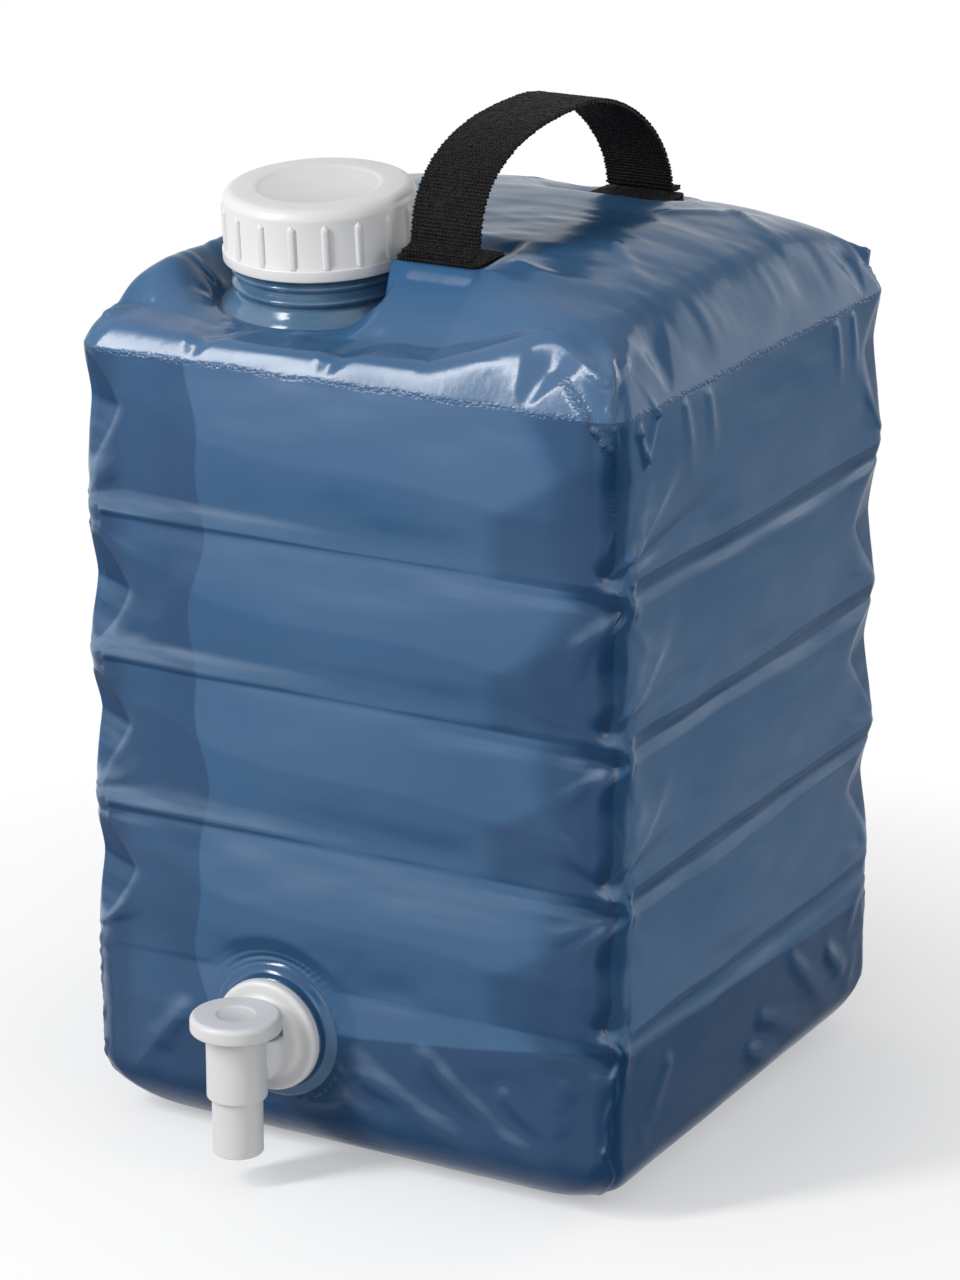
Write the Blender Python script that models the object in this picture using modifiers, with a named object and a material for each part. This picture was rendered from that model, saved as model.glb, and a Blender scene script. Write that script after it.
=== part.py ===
"""Folding water container: a film bag that folds down in tiers, with a screw cap, a handle and a tap.

Metres, +Z up. The bag stands on z = 0, its middle is on the Z axis, and the tap is on the -Y side.
"""

import math

import bmesh
import bpy
from mathutils import Matrix, Vector

# Driving dimensions of the bag
BAG_WIDTH = 0.210  # across X, between the ridges of the folds
BAG_DEPTH = 0.210  # across Y
TIER_HEIGHT = 0.057  # from one fold line to the next
TIER_COUNT = 5
STIFF_HEIGHT = 0.075  # up to here the wall is held by the tap's boss and doesn't fold
FILM = 0.0008
CORNER_RADIUS = 0.009
CORNER_PINCH = 0.0045  # how far a corner is drawn in between two folds
PINCH_START = 0.7  # share of the half wall, from its middle, where the drawing in starts
PANEL_BULGE = 0.003  # how far a panel swells between two folds
FOOT_RADIUS = 0.025  # rounding of the bag's lower edge
FOOT_CORNER_RADIUS = 0.032  # corner of the flat foot, in plan
SHOULDER_RADIUS = 0.020  # rounding of the bag's upper edge
DOME_RISE = 0.017  # rise of the top panel over its shoulder
DOME_FULLNESS = 3.2  # a higher power gives a flatter top

# Driving dimensions of the neck and cap
NECK_LEDGE_X = 0.0092  # between the left shoulder's inner edge and the neck's seat
NECK_LEDGE_Y = 0.0032  # between the front shoulder's inner edge and the neck's seat
NECK_SEAT_RISE = 0.0118  # from the top seam to the film at the neck's axis
NECK_LEAN = math.radians(5.0)  # the neck leans towards the tap side
NECK_BORE_RADIUS = 0.0265
NECK_WALL = 0.0027
NECK_HEIGHT = 0.0368
NECK_WELD_WIDTH = 0.0025  # the flange's lip under the film
NECK_FLANGE_THICKNESS = 0.0016
NECK_COLLAR_TOP = 0.0022
BEAD_COUNT = 2  # rings on the neck, under the cap
BEAD_TOP = 0.0137
BEAD_PITCH = 0.0052
BEAD_WIDTH = 0.0020
BEAD_SLOPE = 0.0016
BEAD_PROUD = 0.0024
WAIST_PROUD = 0.0008
DIP_ROUNDING = 0.006  # where the dip round the neck meets the dome
DIP_SLOPE_FRONT = 0.15  # how steeply the film rises out of the dip
DIP_SLOPE_LEFT = 1.0
DIP_SLOPE_RIGHT = 2.0
DIP_SLOPE_REAR = 1.4
THREAD_PITCH = 0.006
THREAD_DEPTH = 0.0019
THREAD_ROOT_HALF = 0.0013
THREAD_CREST_HALF = 0.0007
THREAD_BURIED = 0.0006  # the thread's root is sunk this far into its wall
THREAD_END_SHARE = 0.15  # depth of the thread's ends, as a share of its full depth
THREAD_START = 0.0215
NECK_THREAD_TURNS = 1.5
CAP_THREAD_TURNS = 1.25
THREAD_CLEARANCE = 0.0007
CAP_WALL = 0.0015
CAP_BASE = 0.0160  # the cap's lower rim over the film
CAP_TOP_THICKNESS = 0.0022
CAP_EDGE_RADIUS = 0.004
CAP_BAND_HEIGHT = 0.0042
CAP_BAND_PROUD = 0.0010
CAP_RECESS_RADIUS = 0.0218
CAP_RECESS_DEPTH = 0.0007
RIB_COUNT = 18
RIB_WIDTH = 0.0030
RIB_PROUD = 0.0008
RIB_HEIGHT = 0.0150
SEAL_THICKNESS = 0.0011

# Driving dimensions of the handle
STRAP_WIDTH = 0.029
STRAP_THICKNESS = 0.0018
STRAP_BEND = 0.001  # the foot starts this far outside the bend
STRAP_CLIMB = 0.040  # from the front patch up to the strap's crown
STRAP_CROWN_Y = 0.018
STRAP_FOOT = 0.0065  # length of the foot turned outwards on its patch
FRONT_FOOT_INSET = 0.0475  # from the front wall to the strap's front bend
REAR_FOOT_INSET = 0.0205
FRONT_ARCH_POWER = 2.6
REAR_ARCH_POWER = 1.75
PATCH_TO_CAP = 0.0036  # between the cap's band and the patches, across X
PATCH_MARGIN = 0.0015  # the patch shows this much beside the strap
PATCH_LENGTH = 0.022
PATCH_OVERHANG = 0.0070  # the patch reaches this far outwards from the bend
PATCH_THICKNESS = 0.0016

# Driving dimensions of the tap
TAP_X = -0.028
TAP_Z = 0.048
TAP_REACH = 0.026  # from the wall to the upright barrel's axis
BOSS_RADIUS = 0.0250
BOSS_THICKNESS = 0.0018
BOSS_STEPS = 2
BOSS_TREAD = 0.0024
BOSS_SLOPE = 0.0008
BOSS_HUB_WALL = 0.0030
BOSS_HUB_DEPTH = 0.0016  # the hub stands this far out of the film, inside the bag
SHANK_RADIUS = 0.0105
SHANK_WALL = 0.0035
SHANK_LENGTH = 0.0185
FLANGE_RADIUS = 0.0203
FLANGE_THICKNESS = 0.0042
FLANGE_EDGE_RADIUS = 0.0018
BARREL_RADIUS = 0.0136
BARREL_FILLET = 0.002
NOSE_SHORT = 0.0035  # the barrel ends this far short of the upright barrel's axis
NOSE_FLAT_RADIUS = 0.0080
NOSE_ROUNDING = 0.0070  # length of the barrel's rounded end
BORE_SHORT = 0.001  # the shank's bore ends this far behind the flange's face
UPRIGHT_WALL = 0.0014  # round the nozzle
UPRIGHT_TOP = 0.0565
UPRIGHT_FOOT = 0.0330
CHAMBER_RADIUS = 0.0082
PASSAGE_RADIUS = 0.0042
PASSAGE_Z = 0.0445
GUIDE_TOP = 0.0532
GUIDE_BOTTOM = 0.0502
SEAT_RADIUS = 0.0052
SEAT_BOTTOM = 0.0366
SEAT_THICKNESS = 0.0015
NOZZLE_RADIUS = 0.0089
NOZZLE_BORE_RADIUS = 0.0076
NOZZLE_FOOT = 0.0120
NOZZLE_CHAMFER = 0.0006
STEM_RADIUS = 0.0024
STEM_FOOT_RADIUS = 0.0045
STEM_FOOT_THICKNESS = 0.0016
VALVE_RADIUS = 0.0066
VALVE_THICKNESS = 0.0018
RING_WIDTH = 0.0012
RING_THICKNESS = 0.0009
BUTTON_RADIUS = 0.0160
BUTTON_TOP = 0.0635
BUTTON_DEPTH = 0.0060
BUTTON_PLATE = 0.0018
BUTTON_EDGE_RADIUS = 0.0020
BUTTON_CHAMFER = 0.0010
BUTTON_TRAVEL = 0.0040
BUTTON_RECESS_RADIUS = 0.0068
BUTTON_RECESS_DEPTH = 0.0005
SPRING_WIRE = 0.0008
SPRING_RADIUS = 0.0058
SPRING_TURNS = 3.5
WASHER_RADIUS = 0.0175
WASHER_THICKNESS = 0.0012
NUT_SIDES = 6
NUT_RADIUS = 0.0170  # over its corners
NUT_THICKNESS = 0.0065

# Clearances
GAP = 0.0003  # between pieces that touch
FILM_GAP = 0.0005  # between two film panels, along a fold or a corner
WELD_GAP = 0.0005  # between the top panel's facets and a patch
RUNNING = 0.0004  # round a piece that slides or turns
OVERCUT = 0.002  # a cutter reaches this far past the faces that it cuts

# Fineness
CORNER_STEPS = 2  # on each half of a corner
PANEL_STEPS = 6
TIER_STEPS = 4
FOOT_STEPS = 4
SHOULDER_STEPS = 4
TOP_RINGS = 6  # between the shoulder and the neck
TOP_RING_POWER = 1.6  # over 1 sets the rings closer near the neck
ARCH_STEPS = 10  # on each half of the strap's arch
ROUND_STEPS = 36
SMALL_STEPS = 24
EDGE_STEPS = 3  # on a rounded edge
THREAD_END_STEPS = 4  # over which a thread's end tapers
SPRING_STEPS = 12  # in one turn
WEBBING_COLUMNS = 4
PATCH_ROWS = 4
SMOOTH_ANGLE = math.radians(35)
MERGE_DISTANCE = 0.00001

HALF_WIDTH = BAG_WIDTH / 2
HALF_DEPTH = BAG_DEPTH / 2
SEAM_Z = TIER_HEIGHT * TIER_COUNT
FOLD_LINES = [STIFF_HEIGHT] + [TIER_HEIGHT * number for number in range(2, TIER_COUNT + 1)]

NECK_CORE_RADIUS = NECK_BORE_RADIUS + NECK_WALL
CAP_BORE_RADIUS = NECK_CORE_RADIUS + THREAD_DEPTH + THREAD_CLEARANCE
CAP_RADIUS = CAP_BORE_RADIUS + CAP_WALL
CAP_CEILING = NECK_HEIGHT + SEAL_THICKNESS + 2 * GAP
CAP_TOP = CAP_CEILING + CAP_TOP_THICKNESS
NECK_COLLAR_RADIUS = CAP_RADIUS - GAP
NECK_FLANGE_RADIUS = NECK_COLLAR_RADIUS + NECK_WELD_WIDTH
NECK_SEAT_RADIUS = NECK_FLANGE_RADIUS + GAP
NECK_X = SHOULDER_RADIUS + NECK_LEDGE_X + NECK_SEAT_RADIUS - HALF_WIDTH
NECK_Y = SHOULDER_RADIUS + NECK_LEDGE_Y + NECK_SEAT_RADIUS - HALF_DEPTH
NECK_Z = SEAM_Z + NECK_SEAT_RISE
NECK_PLACE = Matrix.Translation((NECK_X, NECK_Y, NECK_Z)) @ Matrix.Rotation(NECK_LEAN, 4, "X")

PATCH_WIDTH = STRAP_WIDTH + 2 * PATCH_MARGIN
HANDLE_X = NECK_X + CAP_RADIUS + CAP_BAND_PROUD + PATCH_TO_CAP + PATCH_WIDTH / 2
FRONT_BEND_Y = FRONT_FOOT_INSET - HALF_DEPTH
REAR_BEND_Y = HALF_DEPTH - REAR_FOOT_INSET

UPRIGHT_RADIUS = NOZZLE_RADIUS + GAP + UPRIGHT_WALL
UPRIGHT_Y = -HALF_DEPTH - TAP_REACH
UPRIGHT_PLACE = Matrix.Translation((TAP_X, UPRIGHT_Y, 0.0))
TAP_PLACE = Matrix.Translation((TAP_X, -HALF_DEPTH, TAP_Z)) @ Matrix.Rotation(math.pi / 2, 4, "X")
SHANK_HOLE_RADIUS = SHANK_RADIUS + RUNNING
HUB_RADIUS = SHANK_HOLE_RADIUS + BOSS_HUB_WALL
HUB_FOOT = -FILM - BOSS_HUB_DEPTH
BOSS_FRONT = GAP + BOSS_THICKNESS
FLANGE_BACK = BOSS_FRONT + WASHER_THICKNESS + 2 * GAP
FLANGE_FRONT = FLANGE_BACK + FLANGE_THICKNESS
BUTTON_CEILING = BUTTON_TOP - BUTTON_PLATE

# Side name, and the turn that brings the front wall there
SIDES = {"front": 0.0, "right": math.pi / 2, "rear": math.pi, "left": -math.pi / 2}


def clear_scene():
    """Remove what the file holds."""
    for obj in list(bpy.data.objects):
        bpy.data.objects.remove(obj, do_unlink=True)


def collection(name):
    """Make a collection in the scene."""
    made = bpy.data.collections.new(name)
    bpy.context.scene.collection.children.link(made)
    return made


def material(name, colour, roughness, metallic=0.0, alpha=1.0):
    """Make a plain Principled material."""
    made = bpy.data.materials.new(name)
    made.use_nodes = True
    shader = made.node_tree.nodes["Principled BSDF"]
    shader.inputs["Base Color"].default_value = (*colour, 1.0)
    shader.inputs["Roughness"].default_value = roughness
    shader.inputs["Metallic"].default_value = metallic
    shader.inputs["Alpha"].default_value = alpha
    return made


def smoothstep(value):
    """Ease from 0 to 1."""
    value = min(max(value, 0.0), 1.0)
    return value * value * (3 - 2 * value)


def smooth_min(first, second, width):
    """The lower of two heights, rounded where they meet."""
    mix = max(width - abs(first - second), 0.0) / width
    return min(first, second) - mix * mix * width / 4


def add_object(name, mesh, finish, place=None, smooth=True):
    """Put a mesh into the container's collection as one named piece."""
    obj = bpy.data.objects.new(name, mesh)
    parts.objects.link(obj)
    mesh.materials.append(finish)
    if place is not None:
        obj.matrix_world = place
    if smooth:
        mesh.shade_smooth()
        mesh.set_sharp_from_angle(angle=SMOOTH_ANGLE)
    return obj


def mesh_from(name, bm):
    """Turn a bmesh into a mesh and free it."""
    mesh = bpy.data.meshes.new(name)
    bm.to_mesh(mesh)
    bm.free()
    return mesh


def make_cutter(name, mesh, place):
    """Put a mesh into the cutters' collection."""
    obj = bpy.data.objects.new(name, mesh)
    cutters.objects.link(obj)
    obj.hide_render = True
    obj.display_type = "WIRE"
    obj.matrix_world = place
    return obj


def combine(obj, name, mesh, place, operation):
    """Cut a shape out of a piece, or join it on."""
    boolean = obj.modifiers.new(name, "BOOLEAN")
    boolean.operation = operation
    boolean.object = make_cutter(name, mesh, place)
    boolean.solver = "EXACT"


def cylinder_mesh(name, radius, bottom, top, steps=ROUND_STEPS):
    """A closed cylinder on the Z axis."""
    bm = bmesh.new()
    bmesh.ops.create_cone(
        bm,
        cap_ends=True,
        segments=steps,
        radius1=radius,
        radius2=radius,
        depth=top - bottom,
        matrix=Matrix.Translation((0, 0, (top + bottom) / 2)),
    )
    return mesh_from(name, bm)


def turned(name, profile, finish, place, steps=ROUND_STEPS):
    """Turn a profile of (radius, height) points about Z; its outer side runs from top to bottom."""
    mesh = bpy.data.meshes.new(name)
    points = [(radius, 0.0, height) for radius, height in profile]
    edges = [(n, n + 1) for n in range(len(points) - 1)]
    starts_on_axis = profile[0][0] == 0.0
    if not starts_on_axis:
        edges.append((len(points) - 1, 0))
    mesh.from_pydata(points, edges, [])
    obj = add_object(name, mesh, finish, place, smooth=False)
    screw = obj.modifiers.new("Turn", "SCREW")
    screw.steps = steps
    screw.render_steps = steps
    screw.use_merge_vertices = True
    screw.merge_threshold = MERGE_DISTANCE
    return obj


def arc(centre_radius, centre_height, radius, start, stop, steps):
    """Points of a round stretch of a profile, with angles in degrees from +X."""
    angles = [math.radians(start + (stop - start) * n / steps) for n in range(steps + 1)]
    return [(centre_radius + radius * math.cos(a), centre_height + radius * math.sin(a)) for a in angles]


def thicken(obj, thickness):
    """Give a skin its thickness, inwards from its outer face."""
    solidify = obj.modifiers.new("Thickness", "SOLIDIFY")
    solidify.thickness = thickness
    solidify.offset = -1.0
    solidify.use_even_offset = True


def grid_shell(name, columns, rows, point_at, thickness, finish):
    """A skin whose grid points come from point_at(column, row)."""
    bm = bmesh.new()
    bmesh.ops.create_grid(bm, x_segments=columns, y_segments=rows, size=1.0)
    for vert in bm.verts:
        column = round((vert.co.x + 1) / 2 * columns)
        row = round((vert.co.y + 1) / 2 * rows)
        vert.co = point_at(column, row)
    obj = add_object(name, mesh_from(name, bm), finish)
    thicken(obj, thickness)
    return obj


def across_wall(half, radius):
    """Places along one wall from corner to corner: (along, drop behind the wall)."""
    angles = [math.pi / 4 * step / CORNER_STEPS for step in range(1, CORNER_STEPS + 1)]
    corner = [(half - radius + radius * math.sin(a), radius * (1 - math.cos(a))) for a in angles]
    straight = half - radius
    panel = [(straight * (2 * step / PANEL_STEPS - 1), 0.0) for step in range(PANEL_STEPS + 1)]
    return [(-along, drop) for along, drop in reversed(corner)] + panel + corner


def wall_point(column, half_along, half_out, inset, height, bulge, pinch):
    """A point of the front wall; bulge and pinch are 0 at a fold and 1 midway between two."""
    radius = CORNER_RADIUS + (FOOT_CORNER_RADIUS - CORNER_RADIUS) * inset / FOOT_RADIUS
    along, drop = across_wall(half_along - inset, radius)[column]
    share = min(abs(along) / (half_along - CORNER_RADIUS), 1.0)
    swell = PANEL_BULGE * bulge * math.cos(share * math.pi / 2)
    drawn = CORNER_PINCH * pinch * smoothstep((share - PINCH_START) / (1 - PINCH_START)) * math.sqrt(0.5)
    along = math.copysign(abs(along) - drawn, along)
    return along, half_out - inset - drop + swell - drawn, height


def wall_skin(name, side, profile, finish):
    """One wall of the bag between two heights, from a profile of (inset, height, bulge, pinch)."""
    lengthwise = side in ("front", "rear")
    half_along = HALF_WIDTH if lengthwise else HALF_DEPTH
    half_out = HALF_DEPTH if lengthwise else HALF_WIDTH
    columns = 2 * CORNER_STEPS + PANEL_STEPS
    rotation = Matrix.Rotation(SIDES[side], 3, "Z")
    mitre = {0: FILM_GAP * math.sqrt(0.5), columns: -FILM_GAP * math.sqrt(0.5)}

    def point_at(column, row):
        along, out, height = wall_point(column, half_along, half_out, *profile[row])
        return rotation @ Vector((along + mitre.get(column, 0.0), -out, height))

    return grid_shell(name, columns, len(profile) - 1, point_at, FILM, finish)


def fold_share(height):
    """0 at a fold line and 1 midway between two."""
    return math.sin(math.pi * height / TIER_HEIGHT) ** 2


def foot_profile():
    """The rounded lower edge of the bag, then the stiff part of the wall."""
    rows = []
    for step in range(FOOT_STEPS + 1):
        angle = math.pi / 2 * step / FOOT_STEPS
        inset = FOOT_RADIUS * (1 - math.sin(angle))
        rows.append((inset, FOOT_RADIUS * (1 - math.cos(angle)), 0.0, 0.0))
    rows.append((0.0, (FOOT_RADIUS + TIER_HEIGHT) / 2, 0.0, 0.0))
    rows.append((0.0, TIER_HEIGHT, 0.0, 0.0))
    middle = (TIER_HEIGHT + STIFF_HEIGHT) / 2
    rows.append((0.0, middle, 0.0, fold_share(middle)))
    rows.append((0.0, STIFF_HEIGHT - FILM_GAP / 2, 0.0, fold_share(STIFF_HEIGHT)))
    return rows


def tier_profile(bottom, top):
    """A wall between two folds."""
    rows = []
    for step in range(TIER_STEPS + 1):
        share = step / TIER_STEPS
        height = bottom + (top - bottom) * share
        inside = bottom + FILM_GAP / 2 + (top - bottom - FILM_GAP) * share
        rows.append((0.0, inside, math.sin(math.pi * share) ** 2, fold_share(height)))
    return rows


def make_walls(finish):
    """The four walls, each cut at the bag's fold lines."""
    for side in SIDES:
        foot = wall_skin(f"wall_{side}_foot", side, foot_profile(), finish)
        if side == "front":
            hole = cylinder_mesh("tap_hole", HUB_RADIUS + RUNNING, HUB_FOOT, BOSS_FRONT)
            combine(foot, "tap_hole", hole, TAP_PLACE, "DIFFERENCE")
        for number, (bottom, top) in enumerate(zip(FOLD_LINES, FOLD_LINES[1:]), start=2):
            wall_skin(f"wall_{side}_tier_{number}", side, tier_profile(bottom, top), finish)


def make_bottom(finish):
    """The flat bottom panel, inside the lower edge of the walls."""
    half_x = HALF_WIDTH - FOOT_RADIUS - FILM_GAP
    half_y = HALF_DEPTH - FOOT_RADIUS - FILM_GAP
    radius = FOOT_CORNER_RADIUS - FILM_GAP
    steps = 2 * CORNER_STEPS
    outline = []
    for corner, (sx, sy) in enumerate(((1, 1), (-1, 1), (-1, -1), (1, -1))):
        for step in range(steps + 1):
            angle = math.pi / 2 * (corner + step / steps)
            x = sx * (half_x - radius) + radius * math.cos(angle)
            y = sy * (half_y - radius) + radius * math.sin(angle)
            outline.append((x, y))
    curve = bpy.data.curves.new("bottom_panel", "CURVE")
    curve.dimensions = "2D"
    curve.fill_mode = "BOTH"
    curve.extrude = FILM / 2
    spline = curve.splines.new("POLY")
    spline.points.add(len(outline) - 1)
    for point, (x, y) in zip(spline.points, outline):
        point.co = (x, y, 0.0, 1.0)
    spline.use_cyclic_u = True
    curve.materials.append(finish)
    obj = bpy.data.objects.new("bottom_panel", curve)
    parts.objects.link(obj)
    obj.location = (0, 0, FILM / 2)


def dome_height(x, y):
    """Height of the top panel's outer face, without the dip for the neck."""
    from_side = HALF_WIDTH - abs(x)
    from_end = HALF_DEPTH - abs(y)
    to_edge = min(from_side, from_end)
    if max(from_side, from_end) < CORNER_RADIUS:
        to_edge = CORNER_RADIUS - math.hypot(CORNER_RADIUS - from_side, CORNER_RADIUS - from_end)
    lack = min(max(SHOULDER_RADIUS - to_edge, 0.0), SHOULDER_RADIUS)
    shoulder = math.sqrt(max(SHOULDER_RADIUS**2 - lack**2, 0.0))
    across = 1 - abs(x / HALF_WIDTH) ** DOME_FULLNESS
    along = 1 - abs(y / HALF_DEPTH) ** DOME_FULLNESS
    return SEAM_Z + shoulder + DOME_RISE * across * along


def film_height(x, y):
    """Height of the top panel's outer face: the dome, with a dip round the neck that is open in front."""
    seat = NECK_Z + (y - NECK_Y) * math.tan(NECK_LEAN)
    distance = math.hypot(x - NECK_X, y - NECK_Y)
    beyond = max(distance - NECK_SEAT_RADIUS, 0.0)
    to_right = (x - NECK_X) / max(distance, GAP)
    to_rear = (y - NECK_Y) / max(distance, GAP)
    side_slope = DIP_SLOPE_RIGHT if to_right > 0 else DIP_SLOPE_LEFT
    slope = DIP_SLOPE_FRONT + side_slope * to_right**2 + DIP_SLOPE_REAR * max(to_rear, 0.0) ** 2
    return smooth_min(dome_height(x, y), seat + slope * beyond, DIP_ROUNDING)


def rim_ring(inset):
    """The bag's outline drawn in by inset, from the left front corner round by the right."""
    radius = max(CORNER_RADIUS - inset / 2, CORNER_RADIUS / 2)
    ring = []
    for side, turn in SIDES.items():
        lengthwise = side in ("front", "rear")
        half_along = (HALF_WIDTH if lengthwise else HALF_DEPTH) - inset
        half_out = (HALF_DEPTH if lengthwise else HALF_WIDTH) - inset
        rotation = Matrix.Rotation(turn, 2)
        for along, drop in across_wall(half_along, radius)[:-1]:
            ring.append(rotation @ Vector((along, drop - half_out)))
    return ring


def make_top_panel(finish):
    """The domed top panel, from the seam over the shoulder to the hole for the neck."""
    rings = []
    for step in range(SHOULDER_STEPS + 1):
        angle = math.pi / 2 * step / SHOULDER_STEPS
        rings.append(rim_ring(SHOULDER_RADIUS * (1 - math.cos(angle))))
    count = len(rings[0])
    start = math.radians(-135)
    angles = [start + 2 * math.pi * n / count for n in range(count)]

    def circle(radius):
        return [Vector((NECK_X + radius * math.cos(a), NECK_Y + radius * math.sin(a))) for a in angles]

    seat = circle(NECK_SEAT_RADIUS)
    outer = rings[-1]
    for ring in range(1, TOP_RINGS + 1):
        share = 1 - (1 - ring / (TOP_RINGS + 1)) ** TOP_RING_POWER
        rings.append([a.lerp(b, share) for a, b in zip(outer, seat)])
    rings.append(seat)
    rings.append(circle(NECK_COLLAR_RADIUS + FILM_GAP))

    bm = bmesh.new()
    rows = []
    for number, ring in enumerate(rings):
        lift = FILM_GAP / 2 if number == 0 else 0.0
        rows.append([bm.verts.new((p.x, p.y, film_height(p.x, p.y) + lift)) for p in ring])
    for low, high in zip(rows, rows[1:]):
        for n in range(count):
            after = (n + 1) % count
            bm.faces.new((low[n], low[after], high[after], high[n]))
    thicken(add_object("top_panel", mesh_from("top_panel", bm), finish), FILM)


def thread_mesh(name, radius, height, turns, direction):
    """A right-hand thread; direction is 1 out of a neck and -1 into a cap."""
    steps = round(turns * ROUND_STEPS)
    bm = bmesh.new()
    rows = []
    for step in range(steps + 1):
        angle = 2 * math.pi * step / ROUND_STEPS
        rise = height + THREAD_PITCH * step / ROUND_STEPS
        taper = min(min(step, steps - step) / THREAD_END_STEPS, 1.0)
        depth = THREAD_DEPTH * (THREAD_END_SHARE + (1 - THREAD_END_SHARE) * taper)
        inner = radius - direction * THREAD_BURIED
        outer = radius + direction * depth
        section = (
            (inner, -THREAD_ROOT_HALF),
            (outer, -THREAD_CREST_HALF),
            (outer, THREAD_CREST_HALF),
            (inner, THREAD_ROOT_HALF),
        )
        across = (math.cos(angle), math.sin(angle))
        rows.append([bm.verts.new((r * across[0], r * across[1], rise + z)) for r, z in section])
    for before, after in zip(rows, rows[1:]):
        for n in range(len(before)):
            m = (n + 1) % len(before)
            bm.faces.new((before[n], before[m], after[m], after[n]))
    bm.faces.new(rows[0])
    bm.faces.new(rows[-1])
    bmesh.ops.recalc_face_normals(bm, faces=bm.faces)
    return mesh_from(name, bm)


def make_neck(finish):
    """The threaded spout, its flange under the film and its rings under the cap."""
    film_under = -FILM - GAP
    flange_foot = film_under - NECK_FLANGE_THICKNESS
    bead = NECK_CORE_RADIUS + BEAD_PROUD
    waist = NECK_CORE_RADIUS + WAIST_PROUD
    profile = [
        (NECK_BORE_RADIUS, NECK_HEIGHT),
        (NECK_CORE_RADIUS, NECK_HEIGHT),
        (NECK_CORE_RADIUS, BEAD_TOP + BEAD_SLOPE / 2),
    ]
    for number in range(BEAD_COUNT):
        top = BEAD_TOP - BEAD_PITCH * number
        foot = top - BEAD_WIDTH
        profile += [(bead, top), (bead, foot), (waist, foot - BEAD_SLOPE)]
    profile += [
        (NECK_COLLAR_RADIUS, NECK_COLLAR_TOP),
        (NECK_COLLAR_RADIUS, film_under),
        (NECK_FLANGE_RADIUS, film_under),
        (NECK_FLANGE_RADIUS, flange_foot),
        (NECK_BORE_RADIUS, flange_foot),
    ]
    neck = turned("neck_spout", profile, finish, NECK_PLACE)
    thread = thread_mesh("neck_thread", NECK_CORE_RADIUS, THREAD_START, NECK_THREAD_TURNS, 1)
    combine(neck, "neck_thread", thread, NECK_PLACE, "UNION")


def rib_mesh():
    """The grip ribs: bars sunk into the cap's side, each standing on the band."""
    inner = CAP_RADIUS - CAP_WALL / 2
    outer = CAP_RADIUS + RIB_PROUD
    foot = CAP_BASE + CAP_BAND_HEIGHT / 2
    size = Matrix.Diagonal((outer - inner, RIB_WIDTH, RIB_HEIGHT, 1.0))
    place = Matrix.Translation(((inner + outer) / 2, 0, foot + RIB_HEIGHT / 2))
    bm = bmesh.new()
    for number in range(RIB_COUNT):
        turn = Matrix.Rotation(2 * math.pi * number / RIB_COUNT, 4, "Z")
        bmesh.ops.create_cube(bm, size=1.0, matrix=turn @ place @ size)
    return mesh_from("cap_ribs", bm)


def make_cap(finish):
    """The screw cap: a turned shell with a thread inside and ribs outside."""
    band = CAP_RADIUS + CAP_BAND_PROUD
    recess_foot = CAP_TOP - CAP_RECESS_DEPTH
    profile = [
        (0.0, recess_foot),
        (CAP_RECESS_RADIUS - CAP_RECESS_DEPTH, recess_foot),
        (CAP_RECESS_RADIUS, CAP_TOP),
    ]
    edge = CAP_EDGE_RADIUS
    profile += arc(CAP_RADIUS - edge, CAP_TOP - edge, edge, 90, 0, EDGE_STEPS)
    profile += [
        (CAP_RADIUS, CAP_BASE + CAP_BAND_HEIGHT + CAP_BAND_PROUD),
        (band, CAP_BASE + CAP_BAND_HEIGHT),
        (band, CAP_BASE),
        (CAP_BORE_RADIUS, CAP_BASE),
        (CAP_BORE_RADIUS, CAP_CEILING),
        (0.0, CAP_CEILING),
    ]
    cap = turned("cap", profile, finish, NECK_PLACE)
    start = THREAD_START - THREAD_PITCH / 2
    thread = thread_mesh("cap_thread", CAP_BORE_RADIUS, start, CAP_THREAD_TURNS, -1)
    combine(cap, "cap_thread", thread, NECK_PLACE, "UNION")
    combine(cap, "cap_ribs", rib_mesh(), NECK_PLACE, "UNION")


def make_cap_seal(finish):
    """The disc between the neck's rim and the cap."""
    bottom = NECK_HEIGHT + GAP
    mesh = cylinder_mesh("cap_seal", CAP_BORE_RADIUS - RUNNING, bottom, bottom + SEAL_THICKNESS)
    add_object("cap_seal", mesh, finish, NECK_PLACE)


def patch_top(y):
    """Height of a handle patch's upper face at the middle of the strap."""
    return dome_height(HANDLE_X, y) + WELD_GAP + PATCH_THICKNESS


def arch_points():
    """The strap's upper face in the YZ plane, between its two bends."""
    crown_z = patch_top(FRONT_BEND_Y) + STRAP_CLIMB
    halves = ((FRONT_BEND_Y, FRONT_ARCH_POWER, -1), (REAR_BEND_Y, REAR_ARCH_POWER, 1))
    points = []
    for bend_y, power, way in halves:
        reach = abs(bend_y - STRAP_CROWN_Y)
        foot_z = patch_top(bend_y) + WELD_GAP + STRAP_THICKNESS
        half = []
        for step in range(1, ARCH_STEPS + 1):
            angle = math.pi / 2 * step / ARCH_STEPS
            y = STRAP_CROWN_Y + way * reach * math.cos(angle) ** (2 / power)
            half.append((y, foot_z + (crown_z - foot_z) * math.sin(angle) ** (2 / power)))
        points += half if way < 0 else half[-2::-1]
    return points


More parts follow.
